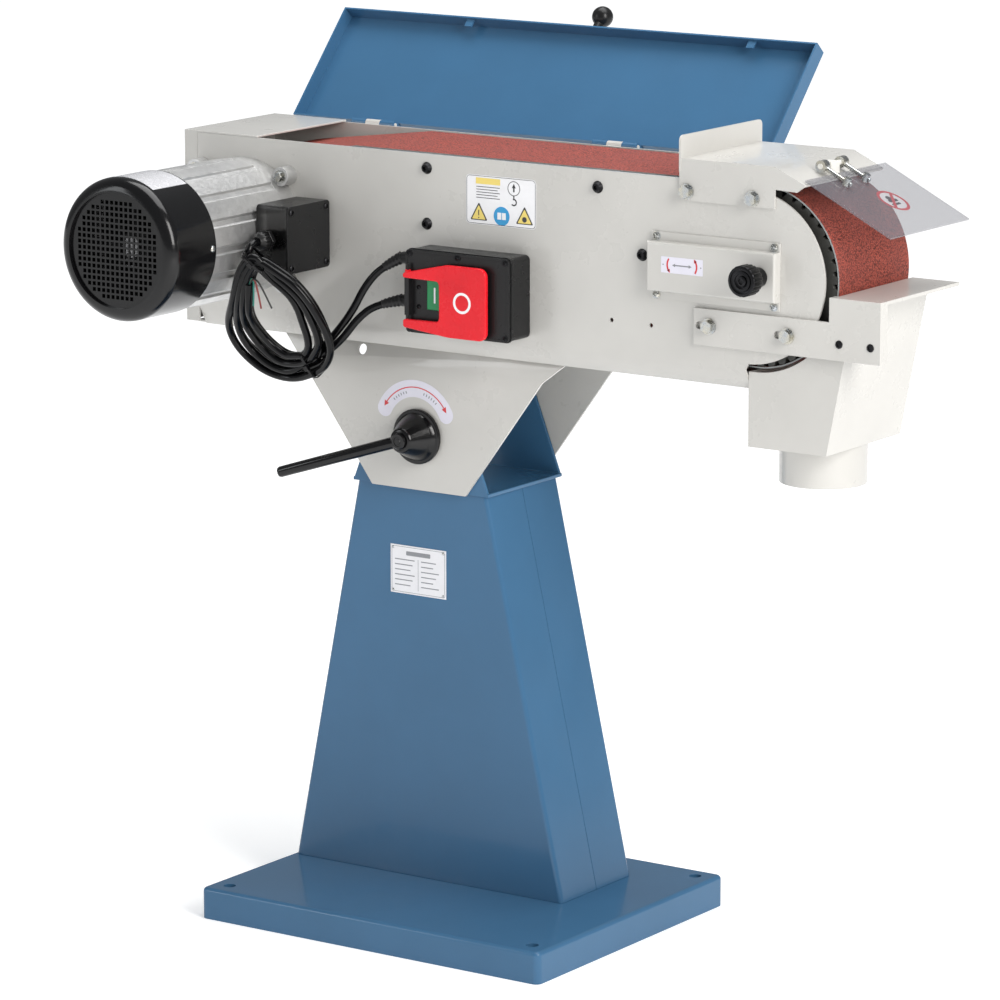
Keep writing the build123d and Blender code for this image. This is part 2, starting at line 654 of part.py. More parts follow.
def work_rest():
    """Slotted bar with a table in front of the belt."""
    back = ARM_Y[0] - 0.3
    front = back - REST_THICK
    bar = side([(333, 709), (569, 709), (569, 773), (505, 773), (505, 750), (333, 750)], (front, back))
    table = block((509.5, 569), (front, 136), (REST_TOP - REST_THICK, REST_TOP))
    lip = block((505, 569), (front, -22), (REST_TOP - REST_THICK, REST_TOP))
    turned = block((566, 569), (front, -20), (709, REST_TOP))
    rest = bar + table + lip + turned
    for x, z in REST_BOLTS:
        low = x - REST_TRAVEL - 1
        slot = block((low, x + 1), (front - 1, back + 1), (z - 4.2, z + 4.2))
        slot += across(low, z, 4.2, (front - 1, back + 1)) + across(x + 1, z, 4.2, (front - 1, back + 1))
        rest -= slot
    for x in (518, 557):
        rest -= across(x, 727, 4, (front - 1, back + 1))
    return rest


HOPPER_Y = (-24.0, 136.0)
HOPPER_FOOT = 600.0
SPIGOT_X, SPIGOT_R, SPIGOT_FOOT = 446.0, 49.0, 554.0


def dust_hopper():
    """Catcher under the contact wheel, its upper edge following the belt, and its flange on the arm."""
    wall, top = 2.0, 766.0
    lean = 0.196
    right = 497 + lean * (top - HOPPER_FOOT)
    outline = [(STRIP_RIGHT + 0.5, HOPPER_FOOT), (497, HOPPER_FOOT), (right, top),
               (STRIP_RIGHT + 0.5, top)]
    inner = [(STRIP_RIGHT + 0.5 + wall, HOPPER_FOOT + wall), (497 - wall + 0.4, HOPPER_FOOT + wall),
             (right - wall + 0.4, top + 2), (STRIP_RIGHT + 0.5 + wall, top + 2)]
    body = side(outline, HOPPER_Y)
    body -= side(inner, (HOPPER_Y[0] + wall, HOPPER_Y[1] - wall))
    body -= across(WHEEL_X, AXIS_Z, 105.5, (HOPPER_Y[0] - 1, HOPPER_Y[1] + 1))
    body -= block((380, STRIP_RIGHT + 30), (-40, 150), (ARM_BOTTOM + 30, top + 5))
    body -= rod((SPIGOT_X, MID_Y, HOPPER_FOOT - 1), (SPIGOT_X, MID_Y, HOPPER_FOOT + 5), SPIGOT_R - 2)
    flange = block((372, STRIP_RIGHT + 0.5), (-8, 122), (ARM_BOTTOM - wall, ARM_BOTTOM))
    return body, flange


def dust_spigot():
    """Tube for a 100 mm hose."""
    outer = rod((SPIGOT_X, MID_Y, SPIGOT_FOOT), (SPIGOT_X, MID_Y, HOPPER_FOOT), SPIGOT_R)
    return outer - rod((SPIGOT_X, MID_Y, SPIGOT_FOOT - 1), (SPIGOT_X, MID_Y, HOPPER_FOOT + 1), SPIGOT_R - 2)


# ---- tracking and tension ----------------------------------------------------------------------
TRACK_X, TRACK_Z, TRACK_SCREW_R = 422.0, 793.0, 4.0
COVER_FRONT = -44.0


def tracking_cover():
    """Pressed cover over the tracking screw, with a screwed flange above and below."""
    x, z, wall = (276.0, 441.0), (765.0, 820.0), 2.0
    box = block(x, (COVER_FRONT, ARM_Y[0]), z)
    box = fillet(box.faces().sort_by(Axis.Y)[0].edges(), 3)
    inside = ((x[0] + wall, x[1] - wall), (COVER_FRONT + wall, ARM_Y[0] + 1), (z[0] + wall, z[1] - wall))
    box -= block(*inside)
    cover = box + block(x, (ARM_Y[0] - wall, ARM_Y[0]), (z[1] - 1, z[1] + 10))
    cover += block(x, (ARM_Y[0] - wall, ARM_Y[0]), (z[0] - 10, z[0] + 1))
    return cover - across(TRACK_X, TRACK_Z, TRACK_SCREW_R + 0.6, (-60, -20))


def tracking_knob():
    """Fluted knob with a neck on the tracking screw."""
    knob = across(TRACK_X, TRACK_Z, 11, (-60, -45))
    knob += cone((TRACK_X, -60, TRACK_Z), (TRACK_X, -64, TRACK_Z), 12, 17)
    head = across(TRACK_X, TRACK_Z, 17, (-82, -64))
    head = fillet(head.faces().sort_by(Axis.Y)[0].edges(), 3)
    return knob + head + across(TRACK_X, TRACK_Z, TRACK_SCREW_R, (-46, -28.3))


CARRIER_PLATE = 5.0
TENSION_TRAVEL = 15.0


def tension_carriage():
    """Fork that holds the contact wheel's axle on both sides of the belt."""
    front = (ARM_Y[0] + SHEET + 0.5, ARM_Y[0] + SHEET + 0.5 + CARRIER_PLATE)
    rear = (2 * MID_Y - front[1], 2 * MID_Y - front[0])
    fork = block((284, 298), (front[0], rear[1]), (745, 775))
    for y in (front, rear):
        fork += side([(284, 745), (298, 745), (424, 772), (424, 806), (292, 806), (284, 790)], y)
        slot = across(WHEEL_X, AXIS_Z, 8.05, y)
        fork -= slot + block((WHEEL_X - 0.9, WHEEL_X + 0.9), y, (AXIS_Z - 8.05, AXIS_Z + 8.05))
        for shift in (-0.9, 0.9):
            fork -= across(WHEEL_X + shift, AXIS_Z, 8.05, y)
    return fork + rod((298 - 60, MID_Y, 760), (286, MID_Y, 760), 6)


def tension_spring():
    """Coil spring round the carriage's tail, against the arm's spring seat."""
    length, coils, wire, coil_r = 60.0, 7, 2.2, 12.0
    path = Helix(pitch=(length - 2 * wire) / coils, height=length - 2 * wire, radius=coil_r)
    section = Plane(origin=path @ 0, z_dir=path % 0) * Circle(wire)
    spring = sweep(section, path=path, is_frenet=True)
    return Pos(222 + wire, MID_Y, 760) * Rot(0, 90, 0) * spring


def contact_axle():
    """Fixed axle, stepped down where the fork holds it."""
    inner = (ARM_Y[0] + SHEET + 6.5, 2 * MID_Y - (ARM_Y[0] + SHEET + 6.5))
    outer = (ARM_Y[0] + SHEET + 0.6, 2 * MID_Y - (ARM_Y[0] + SHEET + 0.6))
    return across(WHEEL_X, AXIS_Z, 10, inner) + across(WHEEL_X, AXIS_Z, 8, outer)


def contact_bearings():
    return [ring(WHEEL_X, AXIS_Z, 23.5, 10, (MID_Y + s - 7, MID_Y + s + 7)) for s in (-30, 30)]


def contact_hub():
    """Cast hub: a bored boss, a web and a rim under the tyre."""
    hub = ring(WHEEL_X, AXIS_Z, 86, 78, BELT_Y) + ring(WHEEL_X, AXIS_Z, 80, 24, (MID_Y - 5, MID_Y + 5))
    hub += across(WHEEL_X, AXIS_Z, 31, (MID_Y - 40, MID_Y + 40))
    return hub - across(WHEEL_X, AXIS_Z, 23.5 + FIT, (-40, 160))


def contact_tyre():
    return ring(WHEEL_X, AXIS_Z, CONTACT_R - BELT_GAP, 86, BELT_Y)


def drive_wheel():
    """Steel drum on the motor shaft, with a deep hub."""
    wheel = ring(MOTOR_X, AXIS_Z, DRIVE_R - BELT_GAP, 72, BELT_Y)
    wheel += across(MOTOR_X, AXIS_Z, 73, (30, 38)) + across(MOTOR_X, AXIS_Z, 26, (-14, 44))
    return wheel - across(MOTOR_X, AXIS_Z, SHAFT_R, (-40, 42)) - across(MOTOR_X, AXIS_Z, 5, (-40, 60))


# ---- clamp lever -------------------------------------------------------------------------------
def clamp_lever():
    """Cone hub with a flat collar and a round bar that slopes down and outwards."""
    face = YOKE_FRONT - SHEET - RUN_GAP
    x, z = PIVOT_X, PIVOT_Z
    lever = across(x, z, 32, (face - 5, face)) + cone((x, face - 5, z), (x, face - 36, z), 27, 13)
    lever += rod((x - 4, face - 27, z - 1), (-191, -98, 516.5), 6.5)
    return lever - across(x, z, PIVOT_R + FIT, (-64, 0))


# ---- lid ---------------------------------------------------------------------------------------
LID_X = (-354.0, 309.0)
LID_FRONT, LID_FOOT, LID_TOP = -15.0, 894.4, 913.4
LID_AXIS_Y, LID_AXIS_Z = 149.4, 891.0
LID_OPEN = 132.0
LID_SHEET = 2.0
HINGES = (-230.0, 110.0)


def opened(shape):
    """Swing a piece from the closed lid's place to the open one."""
    return shape.rotate(Axis((0, LID_AXIS_Y, LID_AXIS_Z), (1, 0, 0)), -LID_OPEN)


def lid():
    """Tray-shaped lid with four flanges, two clips and the moving hinge leaves."""
    back = ARM_Y[1]
    (left, right), wall = LID_X, LID_SHEET
    tray = block(LID_X, (LID_FRONT, back), (LID_FOOT, LID_TOP))
    tray -= block((left + wall, right - wall), (LID_FRONT + wall, back - wall),
                  (LID_FOOT - 1, LID_TOP - wall))
    for x in (-170, 222):
        tray += block((x - 5, x + 5), (LID_FRONT + 1, LID_FRONT + 12), (LID_FOOT + 3, LID_FOOT + 5))
    for x in HINGES:
        tray += block((x - 30, x + 30), (back, back + 1.5), (LID_AXIS_Z + 4.5, LID_AXIS_Z + 18))
        for side_x in ((x - 30, x - 10.3), (x + 10.3, x + 30)):
            tray += block(side_x, (back, back + 1.5), (LID_AXIS_Z + 2, LID_AXIS_Z + 6))
            tray += rod((side_x[0], LID_AXIS_Y, LID_AXIS_Z), (side_x[1], LID_AXIS_Y, LID_AXIS_Z), 5)
            tray += block(side_x, (back, back + 5), (LID_AXIS_Z + 3.4, LID_AXIS_Z + 5))
        tray -= rod((x - 31, LID_AXIS_Y, LID_AXIS_Z), (x + 31, LID_AXIS_Y, LID_AXIS_Z), 2.5 + FIT)
    return opened(tray)


def lid_knob():
    """Ball knob on the front flange, with its nut inside the tray."""
    x, z = 4.0, 904.0
    ball = Pos(x, LID_FRONT - 20, z) * Sphere(12.5)
    knob = ball + rod((x, LID_FRONT - 12, z), (x, LID_FRONT, z), 6)
    return opened(knob)


def lid_hinges():
    """Fixed leaves on the rear panel, each with its knuckle and pin."""
    back = ARM_Y[1]
    leaves = []
    for x in HINGES:
        leaf = block((x - 30, x + 30), (back, back + 1.5), (LID_AXIS_Z - 26, LID_AXIS_Z - 6))
        leaf += block((x - 10, x + 10), (back, back + 1.5), (LID_AXIS_Z - 7, LID_AXIS_Z))
        leaf += rod((x - 10, LID_AXIS_Y, LID_AXIS_Z), (x + 10, LID_AXIS_Y, LID_AXIS_Z), 5)
        leaf += rod((x - 31, LID_AXIS_Y, LID_AXIS_Z), (x + 31, LID_AXIS_Y, LID_AXIS_Z), 2.5)
        leaves.append(leaf)
    return leaves


# ---- small parts on the arm --------------------------------------------------------------------
def small_screws():
    """Cross-head screws of the tracking cover, terminal lid, cowl and motor flange."""
    screws = []
    for x in (283, 434):
        for z in (825, 760):
            screws.append(cone((x, ARM_Y[0] - 2, z), (x, ARM_Y[0] - 4, z), 4, 2.5))
    face = TERMINAL_X[1] + 8
    for y in (TERMINAL_Y[0] + 7, TERMINAL_Y[1] - 7):
        for z in (TERMINAL_Z[0] + 7, TERMINAL_Z[1] - 7):
            screws.append(cone((face, y, z), (face + 1.6, y, z), 4, 3))
    for x, z in lug_spots(LUG_REACH):
        screws.append(hexagon((x, -49, z), (x, -54, z), 8))
    y, low, high = COWL_BACK - 7, COWL_R, COWL_R + 2
    for turn in (0, 120, 240):
        dx, dz = math.cos(math.radians(turn)), math.sin(math.radians(turn))
        screws.append(rod((MOTOR_X + low * dx, y, AXIS_Z + low * dz),
                          (MOTOR_X + high * dx, y, AXIS_Z + high * dz), 3.5))
    return screws


def arm_labels():
    """Blank label plates: safety panel, tracking strip, cowl plate and the angle arc."""
    safety = block((27, 122), (ARM_Y[0] - 0.5, ARM_Y[0]), (817, 873))
    track = block((296, 350), (COVER_FRONT - 0.5, COVER_FRONT), (787, 805))
    face = YOKE_FRONT - SHEET
    arc = ring(PIVOT_X + 2, PIVOT_Z, 58, 45, (face - 0.5, face))
    spread, reach, x = math.radians(48), 90, PIVOT_X + 2
    wide, tall = reach * math.sin(spread), reach * math.cos(spread)
    wedge = [(x, PIVOT_Z), (x + wide, PIVOT_Z + tall), (x - wide, PIVOT_Z + tall)]
    return [safety, track, arc & side(wedge, (face - 1, face + 1))]


# ---- assembly ----------------------------------------------------------------------------------
keep("base_tray", base_tray())
front_shell, rear_shell = column_shells()
keep("column_front_shell", front_shell)
keep("column_rear_shell", rear_shell)
keep("pivot_bracket", pivot_bracket())
keep("pivot_bolt", pivot_bolt())
keep("rating_plate", rating_plate())
keep("yoke_front_plate", yoke_plate())
keep("yoke_rear_plate", mirrored(yoke_plate()))
keep("arm_front_panel", arm_panel(True))
keep("arm_rear_panel", arm_panel(False))
keep("arm_bottom_plate", arm_bottom_plate())
keep("rear_cover", rear_cover())
keep("cross_spacers", *cross_spacers())
keep("platen", platen())
keep("graphite_pad", graphite_pad())
keep("panel_screws", *panel_screws())
keep("abrasive_belt", belt())
keep("motor_frame", motor_frame())
keep("drive_end_bell", drive_end_bell())
keep("fan_end_bell", fan_end_bell())
keep("motor_bearings", *motor_bearings())
keep("stator_core", stator_core())
keep("rotor_core", rotor_core())
keep("motor_shaft", motor_shaft())
keep("cooling_fan", cooling_fan())
keep("fan_cowl", fan_cowl())
keep("drive_wheel", drive_wheel())
keep("terminal_box", terminal_box(), terminal_lid())
keep("cable_gland", cable_gland())
keep("motor_cable", *motor_cable())
keep("supply_cord", *supply_cord())
keep("cord_hank", cord_hank())
keep("cable_ties", *cable_ties())
keep("switch_housing", switch_housing())
keep("switch_face", switch_face())
keep("start_button", button(START_SPOT, SWITCH_FACE - 3))
keep("stop_button", button(STOP_SPOT, SWITCH_FACE - 3.3))
keep("stop_paddle", stop_paddle())
keep("guard_hood", guard_hood())
keep("shield_hinge", hinge_block())
keep("spark_shield", shield())
keep("shield_clamps", *shield_clamps())
keep("hex_bolts", *hex_bolts())
keep("work_rest", work_rest())
keep("dust_hopper", *dust_hopper())
keep("dust_spigot", dust_spigot())
keep("tracking_cover", tracking_cover())
keep("tracking_knob", tracking_knob())
keep("tension_carriage", tension_carriage())
keep("tension_spring", tension_spring())
keep("contact_axle", contact_axle())
keep("contact_bearings", *contact_bearings())
keep("contact_hub", contact_hub())
keep("contact_tyre", contact_tyre())
keep("clamp_lever", clamp_lever())
keep("lid", lid())
keep("lid_knob", lid_knob())
keep("lid_hinges", *lid_hinges())
keep("small_screws", *small_screws())
keep("arm_labels", *arm_labels())

os.makedirs("parts", exist_ok=True)
for name, shape in made.items():
    export_step(shape, f"parts/{name}.step")
print(len(made), "nodes")
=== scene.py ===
import json
import math
import random

import bmesh
import bpy
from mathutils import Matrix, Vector


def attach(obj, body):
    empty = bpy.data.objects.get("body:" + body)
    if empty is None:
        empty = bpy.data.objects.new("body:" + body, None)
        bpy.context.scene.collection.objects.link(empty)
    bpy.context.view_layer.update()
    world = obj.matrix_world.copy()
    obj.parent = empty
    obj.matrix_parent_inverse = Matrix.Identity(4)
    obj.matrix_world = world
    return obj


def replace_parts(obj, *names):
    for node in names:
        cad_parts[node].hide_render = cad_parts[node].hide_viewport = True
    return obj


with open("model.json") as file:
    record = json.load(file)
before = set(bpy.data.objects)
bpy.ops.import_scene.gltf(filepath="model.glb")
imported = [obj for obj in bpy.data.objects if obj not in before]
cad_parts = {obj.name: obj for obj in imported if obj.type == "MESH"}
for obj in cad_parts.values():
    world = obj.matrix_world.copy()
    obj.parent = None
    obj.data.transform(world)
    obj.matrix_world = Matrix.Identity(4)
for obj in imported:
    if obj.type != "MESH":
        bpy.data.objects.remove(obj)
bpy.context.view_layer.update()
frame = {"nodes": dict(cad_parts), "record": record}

# Looks of the pedestal belt grinder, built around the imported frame.  Metres, +Z up, and the frame's own axes:
# +X from the motor to the contact wheel, +Y away from the motor's side.
MM = 0.001
NODES = frame["nodes"]
X, Y, Z = Vector((1, 0, 0)), Vector((0, 1, 0)), Vector((0, 0, 1))
FRONT = (0, -1, 0)                            # out of the motor's side
LOOKS = {}


def mm(*values):
    """A point given in millimetres."""
    return Vector(values) * MM


# ---- camera, light and floor -------------------------------------------------------------------
def make_camera():
    """A long lens from the front right, a little above the machine."""
    azimuth, elevation, distance = math.radians(34.4), math.radians(11.7), 5.812
    target = Vector((0.0519, 0.0, 0.4959))
    back = Vector((math.sin(azimuth) * math.cos(elevation), -math.cos(azimuth) * math.cos(elevation),
                   math.sin(elevation)))
    data = bpy.data.cameras.new("camera")
    data.lens, data.sensor_width = 183.36, 36.0
    data.clip_start, data.clip_end = 0.1, 100.0
    camera = bpy.data.objects.new("camera", data)
    camera.location = target + back * distance
    camera.rotation_euler = (-back).to_track_quat("-Z", "Y").to_euler()
    bpy.context.scene.collection.objects.link(camera)
    bpy.context.scene.camera = camera


def area_light(name, place, aim, size, power, colour):
    data = bpy.data.lights.new(name, "AREA")
    data.shape = "RECTANGLE"
    data.size, data.size_y = size
    data.energy, data.color = power, colour
    lamp = bpy.data.objects.new(name, data)
    lamp.location = place
    lamp.rotation_euler = (Vector(aim) - Vector(place)).to_track_quat("-Z", "Y").to_euler()
    bpy.context.scene.collection.objects.link(lamp)


def make_studio():
    """Pale floor, an even pale surround, a broad soft light overhead and one from the right."""
    middle = (0.05, 0.05, 0.6)
    area_light("key_right", (3.2, -1.2, 2.2), middle, (1.3, 2.2), 104, (1.0, 0.98, 0.96))
    area_light("top", (0.2, 0.4, 3.4), middle, (3.0, 2.0), 90, (1.0, 1.0, 1.0))
    area_light("front_left", (-2.6, -3.2, 1.8), middle, (0.7, 2.0), 20, (0.95, 0.98, 1.0))
    world = bpy.data.worlds.new("surround")
    world.use_nodes = True
    background = world.node_tree.nodes["Background"]
    background.inputs["Color"].default_value = (0.96, 0.98, 1.0, 1.0)
    background.inputs["Strength"].default_value = 0.28
    bpy.context.scene.world = world
    bpy.context.scene.view_settings.view_transform = "Standard"

    mesh = bpy.data.meshes.new("floor")
    reach = 14.0
    mesh.from_pydata([(-reach, -reach, 0), (reach, -reach, 0), (reach, reach, 0), (-reach, reach, 0)], [],
                     [(0, 1, 2, 3)])
    floor = bpy.data.objects.new("floor", mesh)
    bpy.context.scene.collection.objects.link(floor)
    look = Graph("studio_floor")
    look.colour(look.noise(0.6, 2), (0.90, 0.90, 0.90), (0.93, 0.93, 0.93))
    look.set(Roughness=0.75, Emission__Color=(1.0, 1.0, 1.0, 1.0))
    away = look.node("ShaderNodeVectorMath", operation="LENGTH")
    look.put(look.place, away.inputs[0])
    look.put(look.span(away.outputs["Value"], 0.5, 4.5, 0.34, 0.80), look.shader.inputs["Emission Strength"])
    mesh.materials.append(look.material)


# ---- looks -------------------------------------------------------------------------------------
class Graph:
    """A material's node tree. Textures are placed by the object's own coordinates, in metres."""

    def __init__(self, name):
        self.material = bpy.data.materials.new(name)
        self.material.use_nodes = True
        self.tree = self.material.node_tree
        self.shader = self.tree.nodes["Principled BSDF"]
        self.place = self.node("ShaderNodeTexCoord").outputs["Object"]
        self.normal = None

    def node(self, kind, **settings):
        made = self.tree.nodes.new(kind)
        for key, value in settings.items():
            setattr(made, key, value)
        return made

    def put(self, value, socket):
        """Link an output, or set a constant."""
        if isinstance(value, bpy.types.NodeSocket):
            self.tree.links.new(value, socket)
        else:
            socket.default_value = value

    def set(self, **values):
        """Constants on the shader's own sockets; a double underscore stands for a space."""
        for key, value in values.items():
            self.shader.inputs[key.replace("__", " ")].default_value = value

    def stretched(self, scale):
        """Coordinates stretched by three factors."""
        mapping = self.node("ShaderNodeMapping")
        mapping.inputs["Scale"].default_value = scale
        self.put(self.place, mapping.inputs["Vector"])
        return mapping.outputs["Vector"]

    def noise(self, scale, detail=3.0, rough=0.5, place=None):
        made = self.node("ShaderNodeTexNoise")
        self.put(place or self.place, made.inputs["Vector"])
        for key, value in (("Scale", scale), ("Detail", detail), ("Roughness", rough)):
            made.inputs[key].default_value = value
        return made.outputs["Fac"]

    def cells(self, scale, feature="F1", place=None):
        made = self.node("ShaderNodeTexVoronoi", feature=feature)
        self.put(place or self.place, made.inputs["Vector"])
        made.inputs["Scale"].default_value = scale
        return made.outputs["Distance"]

    def span(self, value, low, high, first=0.0, last=1.0):
        """Map low..high of a value to first..last, clamped."""
        made = self.node("ShaderNodeMapRange")
        self.put(value, made.inputs["Value"])
        for key, number in (("From Min", low), ("From Max", high), ("To Min", first), ("To Max", last)):
            made.inputs[key].default_value = number
        return made.outputs["Result"]

    def mix(self, factor, first, last):
        made = self.node("ShaderNodeMix", data_type="RGBA")
        self.put(factor, made.inputs["Factor"])
        for name, value in (("A", first), ("B", last)):
            socket = next(s for s in made.inputs if s.name == name and s.type == "RGBA")
            self.put((*value, 1.0) if isinstance(value, tuple) else value, socket)
        return next(s for s in made.outputs if s.type == "RGBA")

    def maths(self, operation, first, second=0.0):
        made = self.node("ShaderNodeMath", operation=operation)
        self.put(first, made.inputs[0])
        self.put(second, made.inputs[1])
        return made.outputs[0]

    def colour(self, factor, first, last):
        """Base colour from first to last by factor."""
        self.put(self.mix(factor, first, last), self.shader.inputs["Base Color"])

    def rough(self, factor, low, high):
        self.put(self.span(factor, 0.3, 0.7, low, high), self.shader.inputs["Roughness"])

    def bump(self, height, depth, strength=1.0):
        """Add a bump of that depth in metres, over any bump already there."""
        made = self.node("ShaderNodeBump")
        made.inputs["Distance"].default_value = depth
        made.inputs["Strength"].default_value = strength
        self.put(height, made.inputs["Height"])
        if self.normal is not None:
            self.put(self.normal, made.inputs["Normal"])
        self.normal = made.outputs["Normal"]
        self.put(self.normal, self.shader.inputs["Normal"])


def shade(colour, factor):
    return tuple(c * factor for c in colour)


def paint(name, colour, roughness=0.24, coat=0.5, peel=0.00012, gloss=0.45):
    """Stoved enamel: orange peel, faint clouding, and a few specks of dust under the gloss."""
    look = Graph(name)
    cloud = look.span(look.noise(5.0, 4, 0.6), 0.3, 0.7)
    specks = look.span(look.cells(420.0), 0.0, 0.05, 1.0, 0.0)
    rare = look.span(look.noise(60.0, 2), 0.66, 0.72)
    toned = look.mix(cloud, shade(colour, 0.94), shade(colour, 1.05))
    look.colour(look.maths("MULTIPLY", specks, rare), toned, shade(colour, 0.6))
    look.rough(look.noise(9.0, 5, 0.65), roughness - 0.05, roughness + 0.07)
    look.set(Coat__Weight=coat, Coat__Roughness=0.05, Specular__IOR__Level=gloss)
    look.bump(look.noise(260.0, 2, 0.4), peel, 0.55)
    look.bump(look.noise(28.0, 2, 0.5), peel * 4, 0.25)
    return look.material


def metal(name, colour, roughness, grain=(1, 1, 1), scratch=0.00003, stain=0.12):
    """Bare or plated metal: drawn grain, blotches of dull and bright."""
    look = Graph(name)
    lines = look.noise(700.0, 4, 0.7, look.stretched(grain))
    blotch = look.noise(38.0, 5, 0.6)
    look.colour(look.span(blotch, 0.3, 0.7), shade(colour, 1.0 - stain), colour)
    look.set(Metallic=1.0)
    look.put(look.maths("ADD", look.span(lines, 0.3, 0.7, roughness - 0.08, roughness + 0.10),
                        look.span(blotch, 0.35, 0.75, -0.04, 0.06)), look.shader.inputs["Roughness"])
    look.bump(lines, scratch, 0.7)
    return look.material


def zinc():
    """Bright zinc plate with the faint yellow and blue of its passivation."""
    look = Graph("zinc_plate")
    hue = look.span(look.noise(95.0, 3, 0.55), 0.35, 0.65)
    look.colour(hue, (0.44, 0.47, 0.50), (0.56, 0.54, 0.47))
    look.set(Metallic=1.0)
    look.rough(look.noise(420.0, 4, 0.6), 0.16, 0.34)
    look.bump(look.noise(900.0, 3, 0.6), 0.00003, 0.6)
    return look.material


def cast(name, colour):
    """Cast or extruded aluminium: fine sand grain over broad mottling."""
    look = Graph(name)
    look.colour(look.span(look.noise(55.0, 5, 0.65), 0.3, 0.7), shade(colour, 0.82), colour)
    look.set(Metallic=0.85)
    look.rough(look.noise(240.0, 4, 0.6), 0.30, 0.50)
    look.bump(look.noise(900.0, 3, 0.65), 0.00010, 0.6)
    look.bump(look.noise(120.0, 3, 0.6), 0.00012, 0.4)
    return look.material


def abrasive():
    """Coated abrasive: close-set red-brown grains in resin over a cloth whose cut edge is pale."""
    look = Graph("abrasive_cloth")
    grains = look.cells(560.0)
    fine = look.noise(1500.0, 3, 0.7)
    patch = look.span(look.noise(22.0, 4, 0.6), 0.3, 0.7)
    grain_colour = look.mix(look.span(grains, 0.10, 0.75), (0.60, 0.118, 0.078), (0.085, 0.018, 0.014))
    # Painted highlights: scattered pale glints of the grains, put into the base colour.
    glint = look.span(look.cells(430.0), 0.0, 0.26, 1.0, 0.0)
    glints = look.maths("MULTIPLY", glint, look.span(fine, 0.45, 0.62))
    lit = look.mix(glints, grain_colour, (0.74, 0.36, 0.26))
    toned = look.mix(patch, lit, look.mix(0.5, lit, (0.24, 0.060, 0.048)))
    normal = look.node("ShaderNodeNewGeometry").outputs["True Normal"]
    split = look.node("ShaderNodeSeparateXYZ")
    look.put(normal, split.inputs[0])
    edge = look.span(look.maths("ABSOLUTE", split.outputs["Y"]), 0.6, 0.8)
    look.put(look.mix(edge, toned, (0.34, 0.36, 0.36)), look.shader.inputs["Base Color"])
    look.rough(fine, 0.50, 0.85)
    look.set(Specular__IOR__Level=0.35)
    look.bump(look.span(grains, 0.0, 0.8, 1.0, 0.0), 0.00045, 0.9)
    look.bump(fine, 0.00020, 0.6)
    return look.material


def rubber(name, colour, roughness, grain=600.0, depth=0.00012, gloss=0.5):
    look = Graph(name)
    look.colour(look.span(look.noise(30.0, 5, 0.7), 0.3, 0.7), shade(colour, 0.7), shade(colour, 1.35))
    look.rough(look.noise(90.0, 4, 0.6), roughness - 0.08, roughness + 0.12)
    look.set(Specular__IOR__Level=gloss)
    look.bump(look.noise(grain, 4, 0.6), depth, 0.6)
    return look.material


def plastic(name, colour, roughness, pebble=1500.0, depth=0.00006, coat=0.0, gloss=0.4):
    """Moulded plastic with an eroded mould finish and slow flow marks."""
    look = Graph(name)
    look.colour(look.span(look.noise(14.0, 4, 0.6), 0.3, 0.7), shade(colour, 0.88), shade(colour, 1.10))
    look.rough(look.noise(70.0, 4, 0.6), roughness - 0.05, roughness + 0.08)
    look.set(Coat__Weight=coat, Coat__Roughness=0.10, Specular__IOR__Level=gloss)
    look.bump(look.cells(pebble, "SMOOTH_F1"), depth, 0.6)
    look.bump(look.noise(45.0, 2), 0.00015, 0.15)
    return look.material


def clear_plastic():
    """Clear polycarbonate: a faint smoky tint, and hairline scuffs in the gloss."""
    look = Graph("clear_polycarbonate")
    scuffs = look.noise(160.0, 6, 0.75, look.stretched((1, 6, 1)))
    look.colour(look.span(scuffs, 0.4, 0.7), (0.17, 0.17, 0.195), (0.22, 0.22, 0.245))
    look.rough(scuffs, 0.04, 0.14)
    look.set(Alpha=0.40, IOR=1.58, Specular__IOR__Level=0.5, Coat__Weight=0.3, Coat__Roughness=0.03)
    look.bump(scuffs, 0.00003, 0.3)
    return look.material


def film(name, colour, roughness=0.38, metallic=0.0):
    """Printed label film with the faint texture of what it is stuck to."""
    look = Graph(name)
    look.colour(look.span(look.noise(80.0, 4, 0.6), 0.3, 0.7), shade(colour, 0.95), colour)
    look.rough(look.noise(130.0, 3), roughness - 0.06, roughness + 0.06)
    look.set(Metallic=metallic, Coat__Weight=0.3, Coat__Roughness=0.15)
    look.bump(look.noise(320.0, 3), 0.00004, 0.4)
    return look.material


